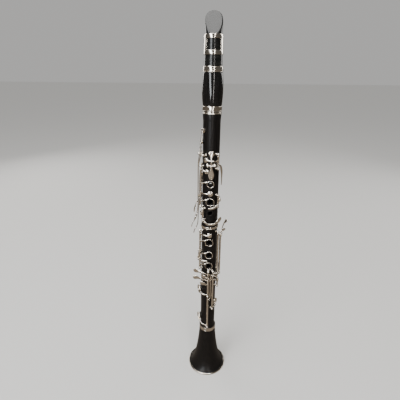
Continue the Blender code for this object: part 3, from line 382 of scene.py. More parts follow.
def joined(base: bpy.types.Object, others: list[Shape], operation: str) -> None:
    """Adds shapes to a solid, or cuts them from it, and keeps only the result.

    Args:
        base: The solid that changes.
        others: The closed shapes.
        operation: UNION or DIFFERENCE.
    """
    helpers = [mesh_object("helper", [shape], []) for shape in others]
    for helper in helpers:
        step = base.modifiers.new("step", "BOOLEAN")
        step.operation = operation
        step.solver = "MANIFOLD"
        step.object = helper
    graph = bpy.context.evaluated_depsgraph_get()
    made = bpy.data.meshes.new_from_object(base.evaluated_get(graph))
    base.modifiers.clear()
    base.data = made
    for helper in helpers:
        bpy.data.objects.remove(helper)


def fitted(made: bpy.types.Object, body: str, slot: str, *nodes: str) -> bpy.types.Object:
    """Lets a piece ride on its body and stand for its nodes, and reports it.

    Args:
        made: The piece.
        body: The body that it moves with.
        slot: The record's material slot; not used.
        *nodes: The nodes that it stands for.

    Returns:
        The piece.
    """
    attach(made, body)
    if nodes:
        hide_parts(*nodes)
    LOG.info("%s: %d faces on %s", made.name, len(made.data.polygons), body)
    return made


# ---- finishes -----------------------------------------------------------------------------------


class Nodes:
    """Builds one material's nodes, all from Object coordinates."""

    def __init__(self, name: str) -> None:
        """Starts a material with that name.

        Args:
            name: The material's name.
        """
        self.material = bpy.data.materials.new(name)
        self.material.use_nodes = True
        self.tree = self.material.node_tree
        self.shader = self.tree.nodes["Principled BSDF"]
        self.where = self.tree.nodes.new("ShaderNodeTexCoord").outputs["Object"]

    def add(self, kind: str, inputs: dict | None = None, **settings: object) -> bpy.types.Node:
        """Adds a node, sets it up and links it.

        Args:
            kind: The node's type.
            inputs: Input name or number to a value or to the socket that feeds it.
            **settings: The node's own properties.

        Returns:
            The node.
        """
        made = self.tree.nodes.new(kind)
        for key, value in settings.items():
            setattr(made, key, value)
        for key, value in (inputs or {}).items():
            if isinstance(value, bpy.types.NodeSocket):
                self.tree.links.new(value, made.inputs[key])
            else:
                made.inputs[key].default_value = value
        return made

    def noise(self, scale: tuple[float, float, float], detail: float = 4.0) -> bpy.types.NodeSocket:
        """A noise pattern, with its own scale along each axis.

        Args:
            scale: How often it repeats in a metre along each axis.
            detail: How many finer layers it has.

        Returns:
            The pattern's socket.
        """
        moved = self.add("ShaderNodeMapping", {"Vector": self.where, "Scale": scale})
        made = self.add("ShaderNodeTexNoise",
                        {"Vector": moved.outputs[0], "Scale": 1.0, "Detail": detail})
        return made.outputs["Fac"]

    def ramp(self, source: bpy.types.NodeSocket, low: float, high: float, first: tuple,
             last: tuple) -> bpy.types.NodeSocket:
        """A blend from first to last as the source goes from low to high.

        Args:
            source: The pattern to read.
            low: The value that gives the first colour.
            high: The value that gives the last.
            first: The first colour.
            last: The last colour.

        Returns:
            The colour's socket.
        """
        made = self.add("ShaderNodeValToRGB", {"Fac": source})
        for stop, place, colour in zip(made.color_ramp.elements, (low, high), (first, last)):
            stop.position, stop.color = place, (*colour, 1.0)
        return made.outputs["Color"]

    def span(self, source: bpy.types.NodeSocket, low: float, high: float) -> bpy.types.NodeSocket:
        """The source's middle half stretched to run from low to high."""
        inputs = {"Value": source, "From Min": 0.3, "From Max": 0.7, "To Min": low, "To Max": high}
        return self.add("ShaderNodeMapRange", inputs).outputs["Result"]

    def bump(self, source: bpy.types.NodeSocket, strength: float, distance: float) -> None:
        """Lets the source raise and lower the surface by up to distance."""
        inputs = {"Height": source, "Strength": strength, "Distance": distance}
        self.link(self.add("ShaderNodeBump", inputs).outputs["Normal"], "Normal")

    def link(self, source: bpy.types.NodeSocket, name: str) -> None:
        """Feeds one of the shader's inputs."""
        self.tree.links.new(source, self.shader.inputs[name])

    def plain(self, **values: float) -> None:
        """Sets the shader's inputs that are the same all over."""
        for key, value in values.items():
            self.shader.inputs[key.replace("_", " ")].default_value = value


@dataclass(frozen=True)
class Wood:
    """Oiled black wood with a fine grain along the bore."""

    name: str = "black_wood"
    dark: tuple = (0.0024, 0.0022, 0.0021)
    light: tuple = (0.0085, 0.0068, 0.0058)
    polish: tuple[float, float] = (0.26, 0.38)
    sheen: float = 0.22

    def make(self) -> bpy.types.Material:
        """Makes the material.

        Returns:
            The material.
        """
        nodes = Nodes(self.name)
        grain = nodes.noise((900.0, 900.0, 26.0), 6.0)
        pores = nodes.noise((2600.0, 2600.0, 90.0), 3.0)
        nodes.link(nodes.ramp(grain, 0.38, 0.72, self.dark, self.light), "Base Color")
        nodes.link(nodes.span(pores, *self.polish), "Roughness")
        nodes.bump(pores, 0.10, 0.00003)
        nodes.plain(Specular_IOR_Level=self.sheen)
        return nodes.material


@dataclass(frozen=True)
class Rubber:
    """Hard black rubber, polished and then a little dulled by wear."""

    name: str
    colour: tuple
    worn: tuple
    polish: tuple[float, float]
    sheen: float = 0.5

    def make(self) -> bpy.types.Material:
        """Makes the material.

        Returns:
            The material.
        """
        nodes = Nodes(self.name)
        cloud = nodes.noise((160.0, 160.0, 160.0), 5.0)
        fine = nodes.noise((2400.0, 2400.0, 2400.0), 2.0)
        nodes.link(nodes.ramp(cloud, 0.35, 0.7, self.colour, self.worn), "Base Color")
        nodes.link(nodes.span(cloud, *self.polish), "Roughness")
        nodes.bump(fine, 0.08, 0.00003)
        nodes.plain(Specular_IOR_Level=self.sheen)
        return nodes.material


@dataclass(frozen=True)
class Plate:
    """Polished plated metal with faint smears and fine wiping scratches."""

    name: str = "silver_plate"
    bright: tuple = (0.86, 0.81, 0.73)
    dull: tuple = (0.66, 0.60, 0.51)
    polish: tuple[float, float] = (0.09, 0.20)

    def make(self) -> bpy.types.Material:
        """Makes the material.

        Returns:
            The material.
        """
        nodes = Nodes(self.name)
        smear = nodes.noise((210.0, 210.0, 140.0), 6.0)
        wipes = nodes.noise((5200.0, 700.0, 5200.0), 2.0)
        nodes.link(nodes.ramp(smear, 0.3, 0.75, self.bright, self.dull), "Base Color")
        nodes.link(nodes.span(smear, *self.polish), "Roughness")
        nodes.bump(wipes, 0.04, 0.00002)
        nodes.plain(Metallic=1.0)
        return nodes.material


@dataclass(frozen=True)
class Cane:
    """Reed cane: fibres along its length, with the darker bark left on the stock."""

    name: str = "cane"
    pale: tuple = (0.78, 0.62, 0.34)
    fibre: tuple = (0.62, 0.45, 0.20)
    bark: tuple = (0.50, 0.33, 0.12)
    cut: float = TIP - 0.0335

    def make(self) -> bpy.types.Material:
        """Makes the material.

        Returns:
            The material.
        """
        nodes = Nodes(self.name)
        fibres = nodes.noise((3200.0, 900.0, 40.0), 5.0)
        colour = nodes.ramp(fibres, 0.35, 0.68, self.pale, self.fibre)
        parts = nodes.add("ShaderNodeSeparateXYZ", {0: nodes.where})
        inputs = {"Value": parts.outputs["Z"], "From Min": self.cut - 1 * MM, "From Max": self.cut}
        vamp = nodes.add("ShaderNodeMapRange", inputs).outputs["Result"]
        mixed = nodes.add("ShaderNodeMix", {"Factor": vamp, 6: (*self.bark, 1.0), 7: colour},
                          data_type="RGBA")
        nodes.link(mixed.outputs[2], "Base Color")
        nodes.link(nodes.span(fibres, 0.42, 0.60), "Roughness")
        nodes.bump(fibres, 0.2, 0.00004)
        return nodes.material


@dataclass(frozen=True)
class Grained:
    """A matt soft finish with speckles, for cork and for pad leather."""

    name: str
    base: tuple
    speck: tuple
    size: float
    rough: float
    relief: float

    def make(self) -> bpy.types.Material:
        """Makes the material.

        Returns:
            The material.
        """
        nodes = Nodes(self.name)
        cells = nodes.add("ShaderNodeTexVoronoi", {"Vector": nodes.where, "Scale": 1.0 / self.size})
        mottle = nodes.noise((0.6 / self.size,) * 3, 4.0)
        nodes.link(nodes.ramp(mottle, 0.35, 0.65, self.base, self.speck), "Base Color")
        nodes.bump(cells.outputs["Distance"], 0.35, self.relief)
        nodes.plain(Roughness=self.rough)
        return nodes.material


@dataclass(frozen=True)
class Steel:
    """Oiled steel with faint streaks, blued where it is a spring."""

    name: str
    light: tuple
    dark: tuple

    def make(self) -> bpy.types.Material:
        """Makes the material.

        Returns:
            The material.
        """
        nodes = Nodes(self.name)
        streaks = nodes.noise((1500.0, 1500.0, 120.0), 3.0)
        nodes.link(nodes.ramp(streaks, 0.3, 0.7, self.light, self.dark), "Base Color")
        nodes.link(nodes.span(streaks, 0.22, 0.38), "Roughness")
        nodes.plain(Metallic=1.0)
        return nodes.material


@dataclass
class Finishes:
    """Every finish that the instrument's pieces share."""

    wood: bpy.types.Material = field(default_factory=lambda: Wood().make())
    gloss: bpy.types.Material = field(
        default_factory=lambda: Wood("gloss_wood", (0.003, 0.003, 0.003), (0.008, 0.0072, 0.007),
                                     (0.06, 0.13), 0.5).make()
    )
    rubber: bpy.types.Material = field(
        default_factory=lambda: Rubber("polished_rubber", (0.004, 0.004, 0.004),
                                       (0.009, 0.009, 0.008), (0.16, 0.30), 0.35).make()
    )
    plate: bpy.types.Material = field(default_factory=lambda: Plate().make())
    steel: bpy.types.Material = field(default_factory=lambda: Steel("rod_steel", (0.62, 0.60, 0.58),
                                                                    (0.40, 0.39, 0.38)).make())
    spring: bpy.types.Material = field(default_factory=lambda: Steel("blued_spring",
                                                                     (0.06, 0.09, 0.20),
                                                                     (0.03, 0.04, 0.09)).make())
    cane: bpy.types.Material = field(default_factory=lambda: Cane().make())
    cork: bpy.types.Material = field(
        default_factory=lambda: Grained("cork", (0.48, 0.30, 0.16), (0.33, 0.18, 0.09), 0.9 * MM,
                                        0.85, 0.15 * MM).make()
    )
    leather: bpy.types.Material = field(
        default_factory=lambda: Grained("pad_leather", (0.60, 0.44, 0.26), (0.50, 0.35, 0.19),
                                        0.35 * MM, 0.62, 0.04 * MM).make()
    )


# ---- hinges -------------------------------------------------------------------------------------


@dataclass(frozen=True)
class Hinge:
    """A steel rod along the body, held by a post at each height."""

    node: str
    azimuth: float
    posts: tuple[float, ...]
    rise: float = HINGE_RISE

    @property
    def radius(self) -> float:
        """Distance of the rod's axis from the bore's axis."""
        return BODY + self.rise

    def at(self, z: float) -> Array:
        """The point of the rod's axis at that height."""
        return polar(self.azimuth, self.radius, z)

    def heads(self) -> list[Array]:
        """The centres of the posts' balls."""
        return [self.at(z) for z in self.posts]

    def tube(self, span: int = 0) -> list[Shape]:
        """The key's hinge tube between two posts, with a collar at each end.

        Args:
            span: Which pair of posts it runs between.

        Returns:
            The tube's shapes.
        """
        clear = POST_BALL + 0.4 * MM
        return tube_between(self.at(self.posts[span] + clear),
                            self.at(self.posts[span + 1] - clear))

    def opened(self, azimuth: float, lift: float) -> float:
        """The turn that raises a pad at that azimuth by lift."""
        return -lift / (self.radius * sin(radians(azimuth - self.azimuth)))

    def spring(self) -> Shape:
        """The needle spring that leans on the key from beside the first post.

        Returns:
            The spring.
        """
        start = polar(self.azimuth + 3.0, self.radius - 1.4 * MM, self.posts[0])
        long = min(0.55 * (self.posts[1] - self.posts[0]), 22 * MM)
        end = polar(self.azimuth + 6.0, self.radius - 2.4 * MM, self.posts[0] + long)
        return rod(start, end, 0.22 * MM, 8, 0.1 * MM).painted(2)


@dataclass(frozen=True)
class Pivot:
    """A steel rod across the body, held by a post at each end."""

    node: str
    azimuth: float
    z: float
    half: float
    rise: float = HINGE_RISE

    def at(self, sideways: float) -> Array:
        """The point of the rod's axis that far from its middle."""
        return (facing(self.azimuth, BODY + self.rise, self.z) @ (sideways, 0.0, 0.0, 1.0))[:3]

    def heads(self) -> list[Array]:
        """The centres of the posts' balls."""
        return [self.at(-self.half), self.at(self.half)]

    def tube(self, start: float | None = None, end: float | None = None) -> list[Shape]:
        """The key's hinge tube, from post to post or over a shorter stretch.

        Args:
            start: Where it starts, from the rod's middle.
            end: Where it ends.

        Returns:
            The tube's shapes.
        """
        clear = self.half - POST_BALL - 0.4 * MM
        start = -clear if start is None else start * MM
        end = clear if end is None else end * MM
        return tube_between(self.at(start), self.at(end))

    def spring(self) -> Shape:
        """The flat spring that lifts the key from under its touch.

        Returns:
            The spring.
        """
        start = polar(self.azimuth, BODY + 1.0 * MM, self.z - 12 * MM)
        end = polar(self.azimuth, BODY + 2.6 * MM, self.z - 1 * MM)
        return rod(start, end, 0.25 * MM, 8, 0.1 * MM).painted(2)


def tube_between(start: Array, end: Array) -> list[Shape]:
    """A hinge tube that is a little slimmer between a collar at each end.

    Args:
        start: One end's centre.
        end: The other end's centre.

    Returns:
        The tube.
    """
    rows, length = along(start, end)
    collar, slim, bore = 0.9 * MM, 0.88 * TUBE, 1.1 * MM
    outline = [(bore, 0.0), (TUBE, 0.0), (TUBE, collar), (slim, collar + 0.3 * MM)]
    outline += [(slim, length - collar - 0.3 * MM), (TUBE, length - collar), (TUBE, length),
                (bore, length)]
    return [lathe(softened(outline, 0.15 * MM, 3, loop=True), 28, rows)]


def post(head: Array, azimuth: float, axis: Array) -> list[Shape]:
    """A turned post: a foot ring, a waisted stem and a ball, with the rod's slotted screw in it.

    Args:
        head: The centre of the ball.
        azimuth: The way that it stands out from the body.
        axis: The direction of the rod, for the screw's head.

    Returns:
        The post's shapes.
    """
    away = polar(azimuth, 1.0, 0.0)
    height = float(head @ away)
    side = head - away * height
    side[2] = 0.0
    beside = max(float(np.linalg.norm(side)) - 2.2 * MM, 0.0)
    ground = (BODY**2 - beside**2) ** 0.5 - 0.1 * MM
    middle = height - ground
    t = np.linspace(radians(-58), pi / 2, 14)
    ball = np.stack([POST_BALL * np.cos(t), middle + POST_BALL * np.sin(t)], axis=1)
    foot = softened([(0.0, 0.0), (2.2 * MM, 0.0), (2.2 * MM, 0.7 * MM), (1.5 * MM, 0.9 * MM),
                     (1.0 * MM, 1.5 * MM)], 0.25 * MM)
    outline = np.concatenate([foot, ball])
    rows = facing(azimuth, 0.0, head[2])
    rows[:3, 3] = away * ground + side + np.array([0.0, 0.0, head[2]])
    screw = [rod(head + axis * way * 1.2 * MM, head + axis * way * 2.45 * MM, 0.95 * MM,
                 20) for way in (-1, 1)]
    return [lathe(outline, 32, rows), *[part.painted(1) for part in screw]]




@dataclass
class HingeRods:
    """Every hinge rod of one joint, with its posts and springs."""

    body: str
    hinges: tuple[Hinge | Pivot, ...]

    def build(self, finishes: Finishes) -> None:
        """Makes one piece for each rod.

        Args:
            finishes: The shared materials.
        """
        for hinge in self.hinges:
            heads = hinge.heads()
            run = heads[-1] - heads[0]
            run /= np.linalg.norm(run)
            shapes = [rod(heads[0], heads[-1], 0.9 * MM, 16).painted(1), hinge.spring()]
            for head in heads:
                shapes += post(head, hinge.azimuth, run)
            metals = [finishes.plate, finishes.steel, finishes.spring]
            made = mesh_object(hinge.node.replace("hinge_rod", "posts"), shapes, metals)
            fitted(made, self.body, "steel", hinge.node)


# ---- keys ---------------------------------------------------------------------------------------


def cup(azimuth: float, z: float, radius: float) -> list[Shape]:
    """A domed cup with a beaded edge and a low boss.

    The dome's height falls as the square root of one minus the squared share of its radius.

    Args:
        azimuth: Where it is round the body.
        z: Its height.
        radius: Its outer radius.

    Returns:
        The cup's shapes.
    """
    rows = facing(azimuth, BODY + PAD_FOOT, z)
    share = np.linspace(0.97, 0.0, 16)
    dome = np.stack([share * radius, CUP_TALL * (0.50 + 0.36 * np.sqrt(1 - share**2))], axis=1)
    bead = softened([(radius * 0.8, 0.7 * MM), (radius - 0.1 * MM, 0.5 * MM), (radius, 0.8 * MM),
                     (radius, 1.25 * MM)], 0.15 * MM)
    outline = np.concatenate([[(0.0, 0.7 * MM)], bead, dome])
    boss = softened([(0.0, 0.5 * CUP_TALL), (0.26 * radius, 0.5 * CUP_TALL),
                     (0.24 * radius, 0.96 * CUP_TALL), (0.0, CUP_TALL)], 0.3 * MM)
    return [lathe(outline, 48, rows), lathe(boss, 24, rows)]


def pad(azimuth: float, z: float, radius: float) -> Shape:
    """The leather pad under a cup, with a rounded edge.

    Args:
        azimuth: Where it stands round the body, in degrees.
        z: The height of its middle.
        radius: The cup's radius.

    Returns:
        The pad.
    """
    edge = radius - 0.35 * MM
    outline = softened([(0.0, 0.05 * MM), (edge, 0.0), (edge + 0.1 * MM, 0.6 * MM),
                        (edge - 0.4 * MM, 0.9 * MM), (0.0, 0.9 * MM)], 0.25 * MM)
    return lathe(outline, 40, facing(azimuth, BODY + PAD_FOOT, z))


def finger_ring(azimuth: float, z: float, radius: float) -> Shape:
    """A finger ring, flat with well rounded edges.

    Args:
        azimuth: Where it stands round the body, in degrees.
        z: The height of its middle.
        radius: Its outer radius.

    Returns:
        The ring.
    """
    inner = radius - RING_BAR
    outline = [(inner, 0.0), (radius, 0.0), (radius, RING_BAR), (inner, RING_BAR)]
    rows = facing(azimuth, BODY + RING_FOOT, z)
    return lathe(softened(outline, 0.5 * MM, 5, loop=True), 56, rows)


def ring_arm(hinge: Hinge, place: tuple[float, float, float], base: float) -> Shape:
    """The S shaped arm from a hinge tube into a finger ring's upper edge.

    Args:
        hinge: The tube that it leaves.
        place: The ring's azimuth, height and radius.
        base: Height of the joint's lower end.

    Returns:
        The arm.
    """
    azimuth, z, radius = place
    turn = (hinge.azimuth - azimuth + 180) % 360 - 180
    way = 1 if turn > 0 else -1
    side, face = radius - RING_BAR / 2, BODY + RING_FOOT + RING_BAR / 2
    height = (z - base) / MM
    edge = azimuth + way * degrees(atan2(side * 0.76, face))
    edge_rise = (hypot(side * 0.76, face) - BODY) / MM
    lift = 0.62 * radius / MM
    start = (azimuth + turn, 5.2)
    middle = ((start[0] + edge) / 2, (start[1] + edge_rise) / 2 + 0.5)
    places = (
        (start[0], start[1], height - 0.6, 3.0),
        (start[0] + 0.35 * (middle[0] - start[0]), 5.0, height - 0.3, 2.6),
        (*middle, height + 0.5 * lift, 2.1),
        (edge, edge_rise, height + lift, 1.8),
    )
    return Bar(places, 1.3, round_start=True, power=2.2).shape(base)


@dataclass(frozen=True)
class Key:
    """One key: its hinge, the turn that it rests at, and its cups, rings and bars.

    Everything is given in the key's closed place. tube holds the arguments of its hinge's tube.
    """

    name: str
    hinge: Hinge | Pivot
    cups: tuple[tuple[float, float, float], ...] = ()
    rings: tuple[tuple[float, float, float], ...] = ()
    bars: tuple[Bar, ...] = ()
    turn: float = 0.0
    tube: tuple = ()

    def rested(self, shape: Shape) -> Shape:
        """Turns a shape about the hinge from its closed place to its place at rest.

        Args:
            shape: The shape in its closed place.

        Returns:
            The shape at rest.
        """
        if not self.turn:
            return shape
        turned = np.array(Matrix.Rotation(self.turn, 4, "Z"))
        pin = self.hinge.at(0.0)
        turned[:3, 3] = pin - turned[:3, :3] @ pin
        return shape.placed(turned)

    def build(self, base: float, finishes: Finishes) -> None:
        """Makes the key's metal, and the pads in its cups.

        Args:
            base: Height of the joint's lower end.
            finishes: The shared materials.
        """
        shapes = self.hinge.tube(*self.tube)
        shapes += [bar.shape(base) for bar in self.bars]
        for place in self.cups:
            shapes += cup(*place)
        for place in self.rings:
            shapes += [finger_ring(*place), ring_arm(self.hinge, place, base)]
        metal = mesh_object(f"{self.name}_metal", [self.rested(shape) for shape in shapes],
                            [finishes.plate])
        fitted(metal, self.name, "silver_plate", self.name)
        if self.cups:
            pads = [self.rested(pad(*place)) for place in self.cups]
            fitted(mesh_object(f"{self.name}_pads", pads, [finishes.leather]), self.name, "cork")


def arm(places: tuple, place: tuple[float, float, float], base: float, wide: float = 2.4) -> Bar:
    """A bar of even width through places and on to the middle of a cup's top.

    Args:
        places: Azimuth, mm above the body and mm above the joint's end of each place.
        place: The cup's azimuth, height and radius.
        base: Height of the joint's lower end.
        wide: Its width in mm.

    Returns:
        The bar.
    """
    end = (place[0], (PAD_FOOT + 0.84 * CUP_TALL) / MM, (place[1] - base) / MM)
    return Bar(tuple((*spot, wide) for spot in (*places, end)), 1.3, round_start=True, power=2.2)


def touch(places: tuple, wides: tuple, thick: float = 1.3) -> Bar:
    """A bar that widens into a finger touch; wides gives its width in mm at each place."""
    return Bar(tuple((*spot, wide) for spot, wide in zip(places, wides)), thick, round_start=True)


def up(height: float) -> float:
    """A height on the upper joint, measured in mm from the middle joint."""
    return UPPER_BASE + height * MM


def low(height: float) -> float:
    """A height on the lower joint, measured in mm from its bell end."""
    return LOWER_BASE + height * MM


@dataclass
class UpperKeys:
    """The keys of the upper joint, their cups and their hinges."""

    rings: Hinge = Hinge("upper_ring_hinge_rod", -64, (up(37.0), up(108.5)))
    sliver: Hinge = Hinge("left_sliver_hinge_rod", 44, (up(38.5), up(59.0)))
    c_sharp: Hinge = Hinge("c_sharp_hinge_rod", -43, (up(13.0), up(34.5)))
    g_sharp: Hinge = Hinge("throat_g_sharp_hinge_rod", 37, (up(105.5), up(129.5)))
    thumb: Hinge = Hinge("thumb_ring_hinge_rod", -146, (up(60.0), up(81.0)))
    throat_a: Pivot = Pivot("throat_a_hinge_rod", 0, up(112.0), 5.6 * MM, 6.7 * MM)
    register: Pivot = Pivot("register_hinge_rod", 180, up(128.0), 6.0 * MM)
    trill: Pivot = Pivot("trill_hinge_rod", -66, up(128.0), 7.8 * MM)
    side: Pivot = Pivot("side_hinge_rod", -122.5, up(53.0), 7.8 * MM)
    a_cup: tuple = (0.0, up(130.5), 4.7 * MM)
    g_cup: tuple = (-32.0, up(120.0), 4.0 * MM)
    top_vent: tuple = (-24.0, up(101.0), 3.8 * MM)
    second_vent: tuple = (0.0, up(63.3), 4.7 * MM)
    sliver_cup: tuple = (82.0, up(48.0), 4.7 * MM)
    c_cup: tuple = (-69.0, up(23.5), 4.2 * MM)
    register_cup: tuple = (180.0, up(170.0), 3.8 * MM)
    side_cups: tuple = (
        (-58.0, up(166.0), 4.2 * MM), (-78.0, up(148.0), 4.2 * MM), (-113.0, up(106.0), 4.2 * MM),
        (-132.0, up(90.0), 4.2 * MM),
    )
    first_ring: tuple = (0.0, up(79.5), 6.2 * MM)
    second_ring: tuple = (0.0, up(47.8), 7.4 * MM)
    thumb_ring: tuple = (180.0, up(74.0), 7.4 * MM)
    third_hole: tuple = (0.0, up(26.5), 3.7 * MM)

    def hinges(self) -> tuple[Hinge | Pivot, ...]:
        """Every hinge of the joint."""
        return (self.rings, self.sliver, self.c_sharp, self.g_sharp, self.thumb, self.throat_a,
                self.register, self.trill, self.side)

    def keys(self) -> list[Key]:
        """Lays out every key of the joint.

        Returns:
            The keys.
        """
        base, lift = UPPER_BASE, 1.3 * MM
        tab = Bar(((-146, 5.5, 76.5, 2.4), (-136, 3.6, 77, 2.4), (-117, 2.7, 77, 2.4),
                   (-96, 2.4, 77, 2.4)), 1.0)
        tail = Bar(((-64, 5.7, 77, 2.4), (-74, 4.1, 77, 2.4), (-97, 4.3, 77, 2.4)), 1.0)
        made = [
            Key("throat_a_key", self.throat_a, (self.a_cup,), (), (
                arm(((0, 8.0, 112), (0, 8.4, 118), (0, 7.4, 125)), self.a_cup, base),
                touch(((0, 8.0, 112), (0, 7.8, 107.5), (0, 7.6, 102.5), (0, 7.6, 97.5),
                       (0, 7.7, 92), (0, 7.9, 88.6)),
                      (2.6, 3.6, 7.4, 9.4, 7.2, 3.4)),
            )),
            Key("throat_g_sharp_key", self.g_sharp, (self.g_cup,), (), (
                arm(((37, 5.7, 118.5), (18, 5.4, 119), (0, 5.0, 119.4)), self.g_cup, base),
                touch(((37, 5.7, 113), (49, 6.0, 110.5), (60, 5.8, 103), (72, 5.2, 93),
                       (78, 4.8, 83), (79, 4.7, 74.6)),
                      (2.6, 3.6, 7.0, 9.0, 8.2, 4.4)),
            )),
            Key("upper_ring_key", self.rings, (self.second_vent, self.top_vent),
                (self.first_ring, self.second_ring), (
                arm(((-64, 5.9, 63.3), (-40, 5.4, 63.3), (-18, 5.0, 63.3)), self.second_vent, base),
                arm(((-64, 5.9, 103), (-46, 5.6, 103)), self.top_vent, base),
                tail,
            ), self.rings.opened(0, lift)),
            Key("thumb_ring_key", self.thumb, (), (self.thumb_ring,), (tab,),
                self.thumb.opened(180, lift)),
            Key("register_key", self.register, (self.register_cup,), (), (
                arm(((180, 5.7, 128), (180, 6.4, 150), (180, 5.4, 164)), self.register_cup, base),
                touch(((180, 5.7, 128), (180, 7.0, 116), (180, 7.8, 106), (180, 7.8, 99),
                       (180, 7.6, 92.8)),
                      (2.6, 3.4, 7.0, 8.4, 5.6)),
            )),
            Key("left_sliver_key", self.sliver, (self.sliver_cup,), (), (
                arm(((44, 5.7, 48), (62, 5.6, 48)), self.sliver_cup, base),
                touch(((44, 5.7, 43), (30, 5.6, 39.5), (10, 5.2, 37), (-12, 5.0, 36.2)),
                      (2.6, 3.4, 3.6, 2.8)),
            )),
            Key("c_sharp_g_sharp_key", self.c_sharp, (self.c_cup,), (), (
                arm(((-43, 5.7, 25), (-56, 5.4, 24.2)), self.c_cup, base),
                touch(((-43, 5.7, 18), (-26, 6.6, 11), (-6, 6.6, 7.5), (18, 6.6, 7.5),
                       (38, 6.9, 11), (50, 7.4, 14.5), (62, 8.2, 16.5)),
                      (2.6, 3.0, 3.4, 3.8, 6.0, 9.0, 7.6)),
            )),
        ]
        return made + self.side_keys()

    def side_keys(self) -> list[Key]:
        """Lays out the four long levers that the first finger works from the side.

        Returns:
            The keys.
        """
        wides = (2.4, 2.4, 2.4, 2.4, 3.2, 6.0, 5.2)
        routes = (
            (self.trill, (0.3, 4.9), ((-58, 5.9, 128), (-58, 5.8, 148)),
             ((-58, 5.9, 128), (-66, 7.0, 118), (-75, 7.6, 106), (-76, 7.6, 50), (-76, 10.5, 42),
              (-75, 13.6, 34), (-75, 15.0, 26))),
            (self.trill, (-4.9, -0.3), ((-74, 5.9, 128), (-76, 5.4, 136)),
             ((-74, 5.9, 128), (-80, 7.0, 118), (-86, 7.6, 106), (-86, 7.6, 30), (-85, 9.4, 22),
              (-84, 12.0, 14.5), (-84, 13.6, 8))),
            (self.side, (0.3, 4.9), ((-111, 5.9, 53), (-111, 6.0, 75), (-112, 5.4, 98)),
             ((-111, 5.9, 53), (-106, 7.2, 44), (-101, 8.2, 28), (-101, 10.0, 12), (-101, 14.0, 4),
              (-101, 18.0, -4), (-101, 19.4, -10))),
            (self.side, (-4.9, -0.3), ((-127, 5.9, 53), (-129, 5.8, 70)),
             ((-127, 5.9, 53), (-119, 7.2, 42), (-113, 8.2, 20), (-111, 8.6, 0), (-109, 11.0, -10),
              (-107, 14.5, -17), (-106, 15.8, -23))),
        )
        return [
            Key(f"side_key_{number}", pivot, (place,), (),
                (arm(upward, place, UPPER_BASE), touch(downward, wides, 1.2)), 0.0, span)
            for number, ((pivot, span, upward, downward),
                         place) in enumerate(zip(routes, self.side_cups), 1)
        ]


